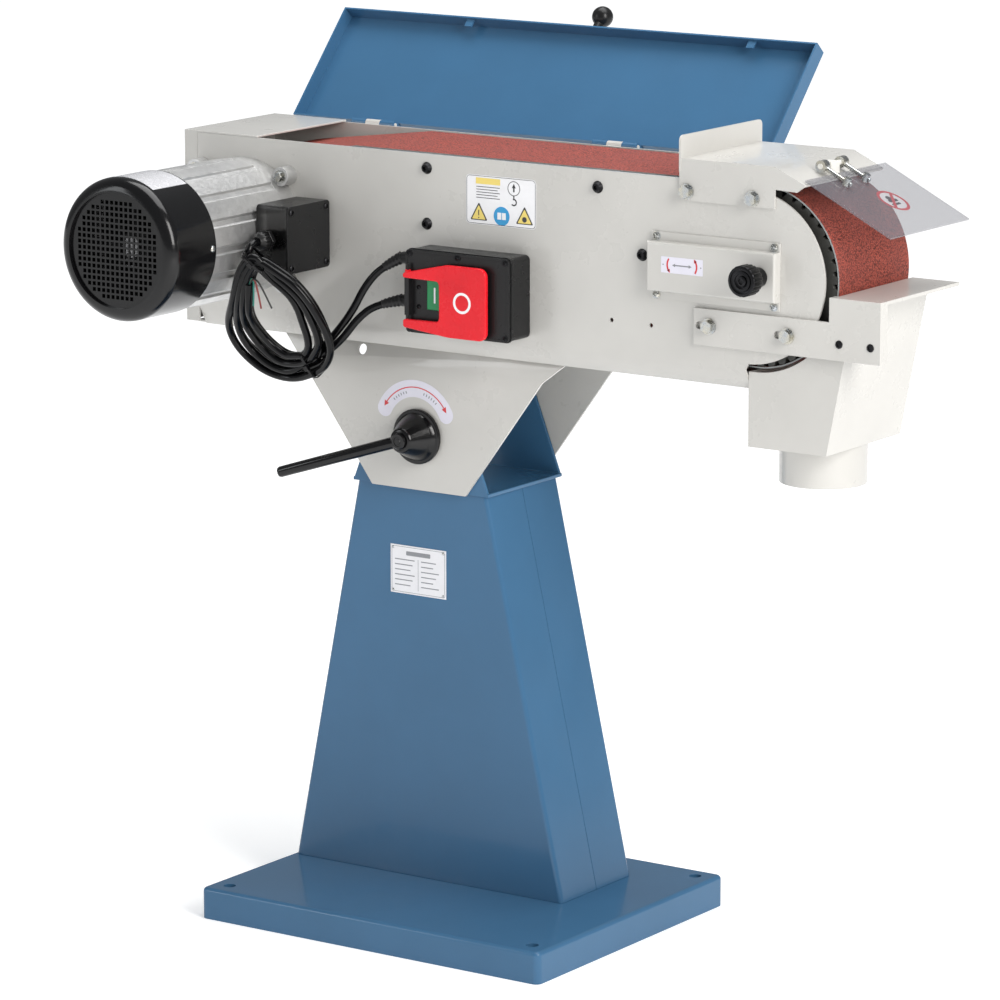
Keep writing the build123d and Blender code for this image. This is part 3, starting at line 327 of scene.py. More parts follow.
def make_looks():
    LOOKS.update({
        "blue_paint": paint("blue_enamel", (0.047, 0.136, 0.254), 0.18, 0.15, gloss=0.24),
        "grey_paint": paint("grey_enamel", (0.548, 0.538, 0.510), 0.28, 0.4),
        "zinc": zinc(),
        "black_oxide": metal("black_oxide", (0.030, 0.030, 0.032), 0.36, stain=0.3),
        "black_paint": paint("black_enamel", (0.0040, 0.0040, 0.0045), 0.16, 0.12, 0.00004, 0.3),
        "cast_aluminium": cast("sand_cast_aluminium", (0.66, 0.66, 0.655)),
        "steel": metal("turned_steel", (0.52, 0.52, 0.53), 0.30, (1, 0.06, 1)),
        "tyre_rubber": rubber("tyre_rubber", (0.042, 0.042, 0.038), 0.42),
        "abrasive": abrasive(),
        "graphite_cloth": rubber("graphite_cloth", (0.030, 0.031, 0.034), 0.48, 1400.0, 0.0002),
        "black_plastic": plastic("black_plastic", (0.0095, 0.0095, 0.0100), 0.30, gloss=0.28),
        "cord_sheath": rubber("cord_sheath", (0.0025, 0.0025, 0.0030), 0.12, 900.0, 0.00002, 0.22),
        "red_plastic": plastic("red_plastic", (0.74, 0.012, 0.022), 0.26, 1900.0, 0.00003, 0.1, 0.22),
        "green_plastic": plastic("green_plastic", (0.0, 0.205, 0.060), 0.32, 1900.0, 0.00003, 0.2),
        "white_plastic": plastic("white_plastic", (0.74, 0.73, 0.69), 0.34, 1300.0, 0.00004),
        "clear_plastic": clear_plastic(),
        "label_film": film("label_film", (0.80, 0.80, 0.83)),
        "print_white": film("print_white", (0.86, 0.86, 0.88)),
        "print_black": film("print_black", (0.020, 0.020, 0.022)),
        "print_grey": film("print_grey", (0.24, 0.25, 0.27)),
        "print_yellow": film("print_yellow", (0.84, 0.66, 0.16)),
        "print_blue": film("print_blue", (0.010, 0.300, 0.620)),
        "print_red": film("print_red", (0.62, 0.022, 0.030)),
        # the painted highlight on the cowl's top
        "highlight_film": film("highlight_film", (0.80, 0.80, 0.83), 0.26, 0.35),
        "pale_film": film("pale_film", (0.72, 0.71, 0.80)),
        "core_green": rubber("core_green", (0.010, 0.170, 0.130), 0.35, 900.0, 0.00003),
        "core_red": rubber("core_red", (0.230, 0.035, 0.030), 0.35, 900.0, 0.00003),
        "core_black": rubber("core_black", (0.012, 0.012, 0.012), 0.35, 900.0, 0.00003),
    })


# ---- carried-over nodes ------------------------------------------------------------------------
# Width in millimetres of the rounding on the edges of each node that shows.
ROUNDED = {
    "base_tray": 0.5, "column_front_shell": 0.6, "column_rear_shell": 0.6, "pivot_bracket": 0.7,
    "yoke_front_plate": 0.7, "yoke_rear_plate": 0.7, "arm_front_panel": 0.7, "arm_rear_panel": 0.7,
    "arm_bottom_plate": 0.6, "rear_cover": 0.6, "guard_hood": 0.6, "work_rest": 0.7, "dust_hopper": 0.5,
    "dust_spigot": 0.5, "tracking_cover": 0.4, "lid": 0.5, "lid_hinges": 0.3, "terminal_box": 0.8,
    "switch_housing": 0.8, "switch_face": 0.6, "start_button": 0.5, "hex_bolts": 0.35,
    "panel_screws": 0.3, "drive_end_bell": 0.8, "motor_frame": 0.6, "pivot_bolt": 0.6,
    "shield_hinge": 0.8, "shield_clamps": 0.3, "spark_shield": 0.4, "platen": 0.3,
}


def soften(node, width):
    """Round a node's sharp edges, so that they catch the light as folded and cut metal does."""
    piece = NODES[node]
    weld = piece.modifiers.new("weld", "WELD")
    weld.merge_threshold = 0.000002
    flat = piece.modifiers.new("flat", "DECIMATE")
    flat.decimate_type = "DISSOLVE"
    flat.angle_limit = math.radians(0.3)
    edges = piece.modifiers.new("edges", "BEVEL")
    edges.width = width * MM
    edges.segments = 2
    edges.limit_method = "ANGLE"
    edges.angle_limit = math.radians(38)
    normals = piece.modifiers.new("normals", "WEIGHTED_NORMAL")
    normals.weight = 50


def dress_nodes():
    """Give every CAD node the look of its material slot in the record."""
    for part in frame["record"]["subparts"]:
        piece = NODES[part["node"]]
        look = LOOKS[part["material_slot"]]
        if not piece.data.materials:
            piece.data.materials.append(look)
        for i in range(len(piece.data.materials)):
            piece.data.materials[i] = look
    for node, width in ROUNDED.items():
        soften(node, width)


# ---- mesh helpers ------------------------------------------------------------------------------
def piece_from(name, bm, look, body, smooth=40.0, bevel=0.0):
    """Turn a bmesh into a piece that rides on a body."""
    bmesh.ops.recalc_face_normals(bm, faces=bm.faces)
    mesh = bpy.data.meshes.new(name)
    bm.to_mesh(mesh)
    bm.free()
    for face in mesh.polygons:
        face.use_smooth = True
    mesh.set_sharp_from_angle(angle=math.radians(smooth))
    mesh.materials.append(LOOKS[look])
    made = bpy.data.objects.new(name, mesh)
    bpy.context.scene.collection.objects.link(made)
    if bevel:
        edges = made.modifiers.new("edges", "BEVEL")
        edges.width, edges.segments = bevel * MM, 2
        edges.limit_method, edges.angle_limit = "ANGLE", math.radians(35)
    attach(made, body)
    return made


def across_to(axis):
    """Two unit vectors square to an axis."""
    axis = Vector(axis).normalized()
    first = axis.cross(Z) if abs(axis.z) < 0.9 else axis.cross(X)
    first.normalize()
    return first, axis.cross(first)


def turned(bm, start, axis, profile, segments=64, wave=None, closed=False):
    """Spin a profile of (along, radius) pairs in millimetres about an axis; wave(turn, i) scales ring i."""
    axis = Vector(axis).normalized()
    u, v = across_to(axis)
    rings = []
    for i, (along, radius) in enumerate(profile):
        centre = Vector(start) + axis * along * MM
        if radius <= 0:
            rings.append([bm.verts.new(centre)])
            continue
        ring = []
        for k in range(segments):
            turn = 2 * math.pi * k / segments
            reach = radius * MM * (wave(turn, i) if wave else 1.0)
            ring.append(bm.verts.new(centre + (u * math.cos(turn) + v * math.sin(turn)) * reach))
        rings.append(ring)
    for low, high in zip(rings, rings[1:] + rings[:1] if closed else rings[1:]):
        for k in range(segments):
            j = (k + 1) % segments
            corners = [low[k % len(low)], low[j % len(low)], high[j % len(high)], high[k % len(high)]]
            corners = list(dict.fromkeys(corners))
            if len(corners) > 2:
                bm.faces.new(corners)
    for ring in () if closed else (rings[0], rings[-1]):
        if len(ring) > 1:
            bm.faces.new(ring)


def slab(bm, outline, place, thickness):
    """Extrude a 2-D outline in millimetres; place(u, v, w) gives the point in the frame."""
    low = [bm.verts.new(place(u, v, 0.0)) for u, v in outline]
    high = [bm.verts.new(place(u, v, thickness)) for u, v in outline]
    bm.faces.new(low)
    bm.faces.new(high)
    count = len(outline)
    for k in range(count):
        j = (k + 1) % count
        bm.faces.new([low[k], low[j], high[j], high[k]])


def hoop(bm, inner, outer, place, thickness):
    """Extrude the band between two outlines with the same number of points."""
    count = len(inner)
    rings = [[bm.verts.new(place(u, v, w)) for u, v in line] for line, w in
             ((inner, 0.0), (outer, 0.0), (outer, thickness), (inner, thickness))]
    for a, b in zip(rings, rings[1:] + rings[:1]):
        for k in range(count):
            j = (k + 1) % count
            bm.faces.new([a[k], a[j], b[j], b[k]])


def disc(cu, cv, radius, count=40, start=0.0, sweep=360.0):
    """Points round a circle, or part of one."""
    whole = sweep == 360.0
    steps = count if whole else count + 1
    return [(cu + radius * math.cos(math.radians(start + sweep * k / count)),
             cv + radius * math.sin(math.radians(start + sweep * k / count))) for k in range(steps)]


def oblong(low, high, corner, count=5):
    """Rectangle with round corners."""
    points = []
    spots = [((high[0] - corner, high[1] - corner), 0), ((low[0] + corner, high[1] - corner), 90),
             ((low[0] + corner, low[1] + corner), 180), ((high[0] - corner, low[1] + corner), 270)]
    for (cu, cv), start in spots:
        points += disc(cu, cv, corner, count, start, 90.0)
    return points


def triangle(cu, cv, side, corner=0.0):
    """Upright triangle, its middle at (cu, cv), with round corners."""
    reach = side / math.sqrt(3) - 2 * corner
    points = []
    for k in range(3):
        turn = 90 + 120 * k
        pu = cu + reach * math.cos(math.radians(turn))
        pv = cv + reach * math.sin(math.radians(turn))
        points += disc(pu, pv, corner, 5, turn - 60, 120.0) if corner else [(pu, pv)]
    return points


# ---- turned and moulded pieces -----------------------------------------------------------------
PIVOT, CONTACT, MOTOR = mm(-46, 0, 563), mm(405.8, 0, 789.3), mm(-283, 0, 789.3)


def at_y(centre, y):
    """The point of a cross axis at that y, in millimetres."""
    return Vector((centre.x, y * MM, centre.z))


def screw_head(bm, place, axis, radius, height, turn=0.0, arms=0.17, depth=0.55):
    """Domed head with a cross recess."""
    axis = Vector(axis).normalized()
    u, v = across_to(axis)
    rings, count = [], 48
    for i, share in enumerate((1.0, 1.0, 0.95, 0.86, 0.72, 0.60, 0.55, 0.42, 0.30, 0.20, 0.12)):
        ring = []
        for k in range(count):
            angle = 2 * math.pi * k / count
            a, b = share * math.cos(angle + turn), share * math.sin(angle + turn)
            rise = 0.0 if i == 0 else height * (1.0 - 0.62 * share ** 3)
            if share < 0.58 and min(abs(a), abs(b)) < arms:
                rise -= depth * height
            ring.append(bm.verts.new(Vector(place) + (u * math.cos(angle) + v * math.sin(angle)) * share
                                     * radius * MM + axis * rise * MM))
        rings.append(ring)
    for low, high in zip(rings, rings[1:]):
        for k in range(count):
            j = (k + 1) % count
            bm.faces.new([low[k], low[j], high[j], high[k]])
    bm.faces.new(rings[0])
    bm.faces.new(rings[-1])


def make_lever():
    """Glossy cone hub with a collar and a ringed cap, and its round bar."""
    face = -23.2
    bm = bmesh.new()
    turned(bm, at_y(PIVOT, face), FRONT,
           [(39.2, 0), (39.2, 8.3), (0, 8.3), (0, 31.2), (0.8, 32), (4.2, 32), (5.2, 31), (5.4, 28.2),
            (6.4, 27.2), (12, 24.8), (20, 21.0), (28, 17.2), (33, 15.0), (35.2, 13.9), (36.2, 12.6),
            (36.4, 10.6), (35.2, 10.2), (35.2, 9.4), (39.6, 9.2), (40.6, 8.2), (40.6, 5.6), (39.8, 5.2),
            (39.8, 3.4), (40.4, 3.0), (40.4, 0)], 96)
    start, tip = mm(-50, -50.2, 562), mm(-191, -98, 516.5)
    length = (tip - start).length / MM
    turned(bm, start, tip - start, [(0, 0), (0, 7.2), (24, 6.9), (length - 4, 6.4), (length - 1.4, 5.4),
                                    (length - 0.3, 3.2), (length, 0)], 40)
    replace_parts(piece_from("lever_with_bar", bm, "black_paint", "lever", 32), "clamp_lever")


def make_knob():
    """Fluted tracking knob with rings in its face, and the screw's end."""
    fluted = range(5, 8)

    def flutes(turn, i):
        return 1.0 - (0.055 * max(0.0, math.cos(20 * turn)) if i in fluted else 0.0)

    bm = bmesh.new()
    centre = mm(422, -45, 793)
    turned(bm, centre, FRONT,
           [(0, 0), (0, 10.4), (0.6, 11), (15, 11), (17, 14.2), (19.4, 17.0), (20.4, 17.3), (34.6, 17.3),
            (36.2, 16.6), (37, 15.2), (37, 13.6), (35.6, 13.2), (35.2, 11.4), (36.2, 11.0), (36.6, 8.2),
            (35.4, 7.8), (34.6, 5.8), (35.8, 5.4), (36.4, 3.4), (35.2, 3.0), (34.4, 0)], 160, flutes)
    turned(bm, mm(422, -46, 793), (0, 1, 0), [(0, 0), (0, 4), (17, 4), (17.7, 3.2), (17.7, 0)], 32)
    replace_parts(piece_from("fluted_knob", bm, "black_oxide", "knob", 40), "tracking_knob")


def make_gland():
    """Hexagon, lock nut with grip ribs, and the clamping nose."""
    bm = bmesh.new()
    seat = mm(-187, -119, 790)
    turned(bm, seat, FRONT, [(0, 0), (0, 12.2), (0.6, 12.7), (5.4, 12.7), (6, 12.2), (6, 0)], 6)
    turned(bm, seat, FRONT,
           [(6, 0), (6, 9.8), (7.2, 9.8), (7.6, 11.2), (13.8, 11.2), (15.4, 10.2), (17.6, 8.4), (19.2, 6.8),
            (20, 6.2), (20, 4.9), (17, 4.7), (17, 0)], 96,
           lambda turn, i: 1.0 - (0.07 if i in (3, 4) and math.cos(16 * turn) > 0.3 else 0.0))
    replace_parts(piece_from("ribbed_gland", bm, "black_plastic", "arm", 35), "cable_gland")


def make_tyre():
    """Rubber tyre with slanted teeth across its width."""
    teeth, steps, width, radius, rim = 44, 16, 150.0, 99.2, 86.0
    valley, rise, lead = 0.945, 0.055, 4.0

    def saw(turn, i):
        if not 1 <= i <= steps + 1:
            return 1.0
        phase = (turn * teeth / (2 * math.pi) + (i - 1) * lead / steps) % 1.0
        return valley + rise * min(1.0, abs(phase - 0.22) / 0.22) ** 3

    profile = [(0, rim)] + [(width * k / steps, radius) for k in range(steps + 1)] + [(width, rim)]
    bm = bmesh.new()
    turned(bm, at_y(CONTACT, -18.5), Y, profile, teeth * 12, saw, True)
    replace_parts(piece_from("serrated_tyre", bm, "tyre_rubber", "wheel", 30), "contact_tyre")


def facing(y):
    """Placing function of a flat shape that faces the front: u and v are x and z, w stands out."""
    return lambda u, v, w: mm(u, y - w, v)


SWITCH_COVER = -73.0                          # y of the switch cover's front, in millimetres
FLAP_BACK, FLAP_THICK = -77.6, 5.4


def make_paddle():
    """Red flap whose two prongs reach back to the hinge past the start button."""
    bm = bmesh.new()
    right, low, high, corner = 89, 694, 776, 10
    outline = [(-24.4, 702), (-22.4, 700.4), (33, low + 0.4), (38, low)]
    outline += disc(right - corner, low + corner, corner, 8, 270, 90)
    outline += disc(right - corner, high - corner, corner, 8, 0, 90)
    outline += [(38, high), (33, high - 0.4), (-22.4, 763), (-24.4, 761.4), (-24.4, 758.4), (-23, 757),
                (21, 756.4), (24, 755.2), (25.2, 752), (25.2, 715), (24, 711.6), (21, 710.4), (-23, 709.6),
                (-24.4, 708.2)]
    slab(bm, outline, facing(FLAP_BACK), FLAP_THICK)
    piece = piece_from("red_flap", bm, "red_plastic", "paddle", 30, 2.0)
    barrels = bmesh.new()
    for z in (701.5, 758.5):
        turned(barrels, mm(-21, -77, z), Z, [(0, 1.6), (0, 3.4), (7, 3.4), (7, 1.6)], 32, None, True)
    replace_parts(piece, "stop_paddle")
    barrels = piece_from("flap_barrels", barrels, "red_plastic", "paddle", 40)
    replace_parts(barrels, "stop_paddle")
    marks = bmesh.new()
    hoop(marks, disc(57, 735, 9.0, 48), disc(57, 735, 12.0, 48), facing(-82.9), 0.25)
    piece_from("stop_mark", marks, "print_white", "paddle")
    marks = bmesh.new()
    slab(marks, oblong((13.9, 730), (16.1, 748), 0.6), facing(-75.9), 0.25)
    piece_from("start_mark", marks, "print_white", "start_key")


def make_switch_trim():
    """Raised border and rim of the switch cover, its screws, and the dark plate behind the flap."""
    bm = bmesh.new()
    low, high = (-27, 694), (114, 788)
    edge, within = oblong(low, high, 6, 6), oblong((low[0] + 3, low[1] + 3), (high[0] - 3, high[1] - 3), 4, 6)
    hoop(bm, within, edge, facing(SWITCH_COVER), 0.5)
    hoop(bm, oblong((low[0] + 1, low[1] + 1), (high[0] - 1, high[1] - 1), 5, 6),
         oblong((low[0] - 1.2, low[1] - 1.2), (high[0] + 1.2, high[1] + 1.2), 7, 6), facing(-66.5), 3.0)
    slab(bm, oblong((48, 702), (96, 770), 4), facing(SWITCH_COVER), 0.4)
    piece_from("switch_trim", bm, "black_plastic", "arm", 35, 0.5)
    bm = bmesh.new()
    for k, (x, z) in enumerate(((-22, 784), (44, 784), (109, 784), (-22, 698), (109, 698))):
        turned(bm, mm(x, SWITCH_COVER, z), FRONT, [(0, 0), (0, 4.2), (0.9, 4.2), (0.9, 0)], 24)
        screw_head(bm, mm(x, SWITCH_COVER - 0.8, z), FRONT, 2.7, 1.4, 0.4 + k)
    for k, z in enumerate((724, 746)):
        screw_head(bm, mm(-9, SWITCH_COVER, z), FRONT, 2.6, 1.5, 0.2 + k)
    piece_from("switch_screws", bm, "black_oxide", "arm", 35)


def make_screws():
    """Cross-head screws: zinc on the tracking cover and cowl, black on the terminal lid; flange bolts."""
    bright, dark = bmesh.new(), bmesh.new()
    for k, (x, z) in enumerate(((283, 825), (283, 760), (434, 825), (434, 760))):
        turned(bright, mm(x, -33, z), FRONT, [(0, 0), (0, 5.2), (0.7, 5.2), (0.7, 0)], 32)
        screw_head(bright, mm(x, -33.6, z), FRONT, 4.2, 2.3, 0.5 + k)
    for k, turn in enumerate((0, 120, 240)):
        way = Vector((math.cos(math.radians(turn)), 0, math.sin(math.radians(turn))))
        screw_head(bright, at_y(MOTOR, -203) + way * 82 * MM, way, 3.8, 2.6, 0.3 + k)
    for i in (-1, 1):
        for j in (-1, 1):
            spot = at_y(MOTOR, -49) + mm(62.2 * i, 0, 62.2 * j)
            turned(bright, spot, FRONT, [(0, 0), (0, 7.6), (1, 7.6), (1, 0)], 32)
            turned(bright, spot, FRONT, [(1, 0), (1, 5.6), (4.6, 5.6), (5.2, 5.0), (5.2, 0)], 6)
    for k, (y, z) in enumerate(((-112, 759), (-112, 822.5), (-45.5, 759), (-45.5, 822.5))):
        screw_head(dark, mm(-158, y, z), X, 4.0, 2.2, 0.4 + k)
    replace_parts(piece_from("bright_screws", bright, "zinc", "arm", 35), "small_screws")
    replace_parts(piece_from("dark_screws", dark, "black_oxide", "arm", 35), "small_screws")
    heads = bmesh.new()
    for x in (518, 557):
        turned(heads, mm(x, -34.6, 727), FRONT,
               [(0, 0), (0, 4.5), (1.2, 4.5), (1.8, 3.8), (1.9, 2.4), (0.9, 2.2), (0.9, 0)], 32)
    piece_from("rest_screws", heads, "black_oxide", "rest", 35)


# ---- labels, and the painted highlight on the cowl ---------------------------------------------
PRINT_THICK = 0.08                            # of a printed shape, in millimetres


def print_piece(name, outlines, look, y, body="arm", lift=0.0):
    """Flat printed shapes, one just over another: a band is given as (inner, outer)."""
    bm = bmesh.new()
    for outline in outlines:
        if isinstance(outline, tuple):
            hoop(bm, outline[0], outline[1], facing(y - lift), PRINT_THICK)
        else:
            slab(bm, outline, facing(y - lift), PRINT_THICK)
    return piece_from(name, bm, look, body)


def bar(low, high):
    return oblong(low, high, 0.2, 1)


def framed(low, high, corner, wide):
    """Band just inside a rounded rectangle."""
    inner = oblong((low[0] + wide, low[1] + wide), (high[0] - wide, high[1] - wide), corner - wide)
    return inner, oblong(low, high, corner)


def arc_band(centre, radii, start, sweep, round_ends=False, count=36):
    """Part of a flat ring."""
    outer = disc(*centre, radii[1], count, start, sweep)
    inner = disc(*centre, radii[0], count, start, sweep)[::-1]
    if not round_ends:
        return outer + inner
    middle, half = (radii[0] + radii[1]) / 2, (radii[1] - radii[0]) / 2
    caps = []
    for turn in (start + sweep, start):
        spot = disc(*centre, middle, 1, turn, 1.0)[0]
        caps.append(disc(*spot, half, 12, turn if turn != start else turn + 180, 180.0))
    return outer[1:-1] + caps[0] + inner[1:-1] + caps[1]


def arrow_head(spot, turn, size):
    """Triangle that points along turn degrees."""
    corners = [math.radians(turn + k) for k in (0, 125, 235)]
    return [(spot[0] + size * math.cos(way), spot[1] + size * math.sin(way)) for way in corners]


def safety_label():
    """White panel with a yellow bar, lines, two warning triangles, a blue disc and a lifting hook."""
    y = -31.1
    base = print_piece("safety_panel", [oblong((27, 817), (122, 873), 5)], "print_white", y)
    black = [framed((27.8, 817.8), (121.2, 872.2), 4.2, 0.55)]
    black += [bar((41, 859.5 - 3.1 * k), (73 - (k % 2) * 3, 860.3 - 3.1 * k)) for k in range(5)]
    black += [triangle(44.5, 828.5, 23.5, 1.0), triangle(106.5, 828.5, 23.5, 1.0)]
    black += [(disc(92, 861, 7.6, 32), disc(92, 861, 8.4, 32)), bar((91.2, 849.5), (92.8, 853)),
              arc_band((92, 845.5), (2.6, 4.2), 110, -250, False, 20), arrow_head((92, 863.4), 90, 3.2),
              bar((91, 857), (93, 862.5))]
    print_piece("safety_black", black, "print_black", y, lift=0.10)
    yellow = [triangle(44.5, 828.2, 18.6, 0.6), triangle(106.5, 828.2, 18.6, 0.6),
              bar((40.5, 863), (73.5, 870))]
    print_piece("safety_yellow", yellow, "print_yellow", y, lift=0.20)
    print_piece("safety_blue", [disc(75.5, 828.5, 10.8)], "print_blue", y, lift=0.10)
    top = [bar((43.9, 827), (45.1, 833.5)), disc(44.5, 824.8, 0.8, 12), disc(106.5, 827.2, 3.1, 24)]
    print_piece("safety_marks", top, "print_black", y, lift=0.30)
    book = [oblong((69.8, 824.6), (75.0, 832.4), 0.6), oblong((76.0, 824.6), (81.2, 832.4), 0.6)]
    print_piece("safety_book", book, "print_white", y, lift=0.20)
    return base


def tracking_label():
    y = -44.1
    base = print_piece("track_strip", [oblong((296, 787), (350, 805), 0.8)], "pale_film", y)
    left, right = (316, 796), (330, 796)
    red = [arc_band(left, (11.0, 13.0), 145, 70), arc_band(right, (11.0, 13.0), -35, 70),
           arrow_head((306.2, 787.9 + 1.6), 300, 2.6), arrow_head((339.8, 802.6), 120, 2.6)]
    print_piece("track_red", red, "print_red", y, lift=0.10)
    black = [disc(298.6, 796, 0.8, 12), disc(347.4, 796, 0.8, 12), bar((314, 795.3), (332, 796.7)),
             arrow_head((312.8, 796), 180, 2.4), arrow_head((333.2, 796), 0, 2.4)]
    print_piece("track_black", black, "print_grey", y, lift=0.10)
    return base


def tilt_label():
    """Arc over the clamp lever with a double-headed arrow."""
    y, centre = -22.7, (-50, 570.5)
    base = print_piece("tilt_arc", [arc_band(centre, (37.5, 57.5), 26, 128, True)], "pale_film", y)
    ends = [disc(*centre, 49.0, 1, turn, 1.0)[0] for turn in (33, 147)]
    red = [arc_band(centre, (48.4, 49.7), 36, 108), arrow_head(ends[0], 33 - 90, 4.2),
           arrow_head(ends[1], 147 + 90, 4.2)]
    print_piece("tilt_red", red, "print_red", y, lift=0.10)
    ticks = [arc_band(centre, (42.2, 45.2), turn, 1.6, False, 2) for turn in range(48, 74, 5)]
    ticks += [arc_band(centre, (42.2, 45.2), turn, 1.6, False, 2) for turn in range(106, 134, 5)]
    print_piece("tilt_ticks", ticks, "print_grey", y, lift=0.10)
    return base


def rating_print():
    """Frame, heading bar and ruled lines on the rating plate."""
    y = -16.6
    shapes = [framed((-88.4, 375.6), (-13.6, 429.4), 1.6, 0.5), oblong((-68, 419.5), (-34, 424.5), 1)]
    for k in range(6):
        v = 413.5 - 6 * k
        shapes.append(bar((-84, v), (-56 - 3 * (k % 3), v + 1.2)))
        shapes.append(bar((-47, v), (-22 - 4 * ((k + 1) % 3), v + 1.2)))
    shapes.append(bar((-51.4, 379), (-50.9, 416)))
    print_piece("rating_ink", shapes, "print_grey", y, "base", 0.04)
    rivets = bmesh.new()
    for x in (-86.4, -15.6):
        for z in (377.4, 427.6):
            turned(rivets, mm(x, y, z), FRONT, [(0, 0), (0, 1.7), (0.5, 1.5), (0.9, 0.8), (1.0, 0)], 16)
    piece_from("plate_rivets", rivets, "zinc", "base")


def cowl_highlight_sheet():
    """Painted highlight: a bright silver sheet wrapped round the cowl's glossy top."""
    bm = bmesh.new()
    grid = []
    for k in range(25):
        turn = math.radians(59 + 80 * k / 24)
        way = Vector((math.cos(turn), 0, math.sin(turn)))
        grid.append([bm.verts.new(at_y(MOTOR, y) + way * radius * MM)
                     for y, radius in ((-198, 82.02), (-198, 82.18), (-259, 82.18), (-259, 82.02))])
    for a, b in zip(grid, grid[1:]):
        for k in range(4):
            j = (k + 1) % 4
            bm.faces.new([a[k], a[j], b[j], b[k]])
    bm.faces.new(grid[0])
    bm.faces.new(grid[-1])
    return piece_from("painted_cowl_highlight", bm, "highlight_film", "arm")


def shield_mark():
    """Round red ring with a bar across, on the clear shield."""
    low, high = mm(470, 0, 899), mm(577, 0, 845.5)
    along = (high - low).normalized()
    front = along.cross(Y)
    middle = low + along * 61 * MM + Y * 65 * MM

    def place(u, v, w):
        return middle + (Y * u + along * v + front * (w - 0.05)) * MM

    for name, look, shapes, lift in (
            ("mark_white", "print_white", [disc(0, 0, 19.4, 48)], 0.0),
            ("mark_black", "print_black", [oblong((-8.7, -2.9), (8.7, 2.2), 2.0), disc(-1.4, -5.1, 4.6, 20),
                                           oblong((-11, 4.4), (5.8, 8), 1.5)], 0.12),
            ("mark_red", "print_red", [(disc(0, 0, 16.2, 48), disc(0, 0, 20.0, 48)),
                                       [(-13, 10.2), (-10.2, 13), (13, -10.2), (10.2, -13)]], 0.24)):
        bm = bmesh.new()
        for shape in shapes:
            def at(u, v, w):
                return place(u, v, w + lift)
            if isinstance(shape, tuple):
                hoop(bm, shape[0], shape[1], at, 0.1)
            else:
                slab(bm, shape, at, 0.1)
        piece_from(name, bm, look, "shield")


def make_labels():
    # The sheet on the cowl's top is a painted highlight.
    for base in (safety_label(), tracking_label(), tilt_label(), cowl_highlight_sheet()):
        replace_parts(base, "arm_labels")
    rating_print()
    shield_mark()


# ---- cords -------------------------------------------------------------------------------------
CORD_D, CORE_D = 0.009, 0.0021
SUPPLY_ROUTE = [mm(-43, -57, 775), mm(-66, -64, 763), mm(-84, -72, 741), mm(-97, -80, 710),
                mm(-117, -86, 683), mm(-138, -90, 661)]
MOTOR_ROUTE = [mm(-131, -92, 658), mm(-106, -88, 678), mm(-90, -78, 704), mm(-72, -66, 720),
               mm(-43, -57, 726)]
GLAND_ROUTE = [mm(-187, -136, 790), mm(-187, -144, 790), mm(-187, -151, 787), mm(-188, -155, 780),
               mm(-191, -152, 770), mm(-197, -146, 757)]
# The hank leans in a plane: spokes round it, each with its outer and inner end across and up that plane,
# and how far it bulges to the front there.
HANK_FOOT, HANK_LEAN = mm(0, -82, 625), 0.45
SPOKES = [((-175, 176), (-178, 155), 4), ((-196, 156), (-188, 138), 12), ((-215, 116), (-197, 108), 16),
          ((-240, 80), (-203, 84), 8), ((-247, 50), (-200, 62), 2), ((-236, 26), (-190, 44), 0),
          ((-212, 6), (-175, 34), 0), ((-176, 1), (-160, 36), 0), ((-140, 15), (-149, 38), 0),
          ((-120, 28), (-138, 50), 0), ((-105, 50), (-136, 66), 0), ((-105, 74), (-137, 84), 0),
          ((-112, 98), (-138, 104), 0), ((-122, 120), (-144, 120), 0), ((-136, 138), (-155, 131), 0),
          ((-154, 150), (-167, 142), 0)]
RIGHT_SIDE = 10                               # the first of the spokes on the hank's right


def hank_point(u, s, w):
    """A point across, up and in front of the hank's leaning plane, from millimetres."""
    up = Vector((0, -HANK_LEAN, 1)).normalized()
    front = X.cross(up)
    return HANK_FOOT + (X * u + up * s + front * w) * MM


def strand(first, last, step, lanes, sides):
    """Turns of a cord in the hank. lanes: (share, layer) on each pass of the left; sides: of the right."""
    points, spoke, turn = [], first, 0
    draw = random.Random(first * 31 + len(lanes))
    while True:
        k = spoke % len(SPOKES)
        if k >= RIGHT_SIDE and turn < len(sides):
            share, layer = sides[turn]
        else:
            share, layer = lanes[min(turn, len(lanes) - 1)]
        outer, inner, bulge = SPOKES[k]
        share += draw.uniform(-0.03, 0.03)
        u = inner[0] + (outer[0] - inner[0]) * share
        s = inner[1] + (outer[1] - inner[1]) * share
        points.append(hank_point(u, s, layer + bulge))
        if spoke == last:
            return points
        if (step > 0 and k == len(SPOKES) - 1) or (step < 0 and k == RIGHT_SIDE):
            turn += 1
        spoke += step


def cord_curve(name, points, look="cord_sheath", diameter=CORD_D, body="arm"):
    """A cord whose smooth line is drawn by its control points."""
    data = bpy.data.curves.new(name, "CURVE")
    data.dimensions = "3D"
    data.bevel_depth, data.bevel_resolution, data.resolution_u = diameter / 2, 5, 10
    data.use_fill_caps = True
    spline = data.splines.new("NURBS")
    spline.points.add(len(points) - 1)
    for point, place in zip(spline.points, points):
        point.co = (*place, 1.0)
    spline.order_u = 3
    spline.use_endpoint_u = True
    data.materials.append(LOOKS[look])
    made = bpy.data.objects.new(name, data)
    bpy.context.scene.collection.objects.link(made)
    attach(made, body)
    return made


def line_of(curve):
    """The points that a curve's spline runs through."""
    bare = bpy.data.objects.new("line", curve.data.copy())
    bare.data.bevel_depth = 0
    mesh = bpy.data.meshes.new_from_object(bare)
    points = [v.co.copy() for v in mesh.vertices]
    bpy.data.meshes.remove(mesh)
    bpy.data.curves.remove(bare.data)
    return points


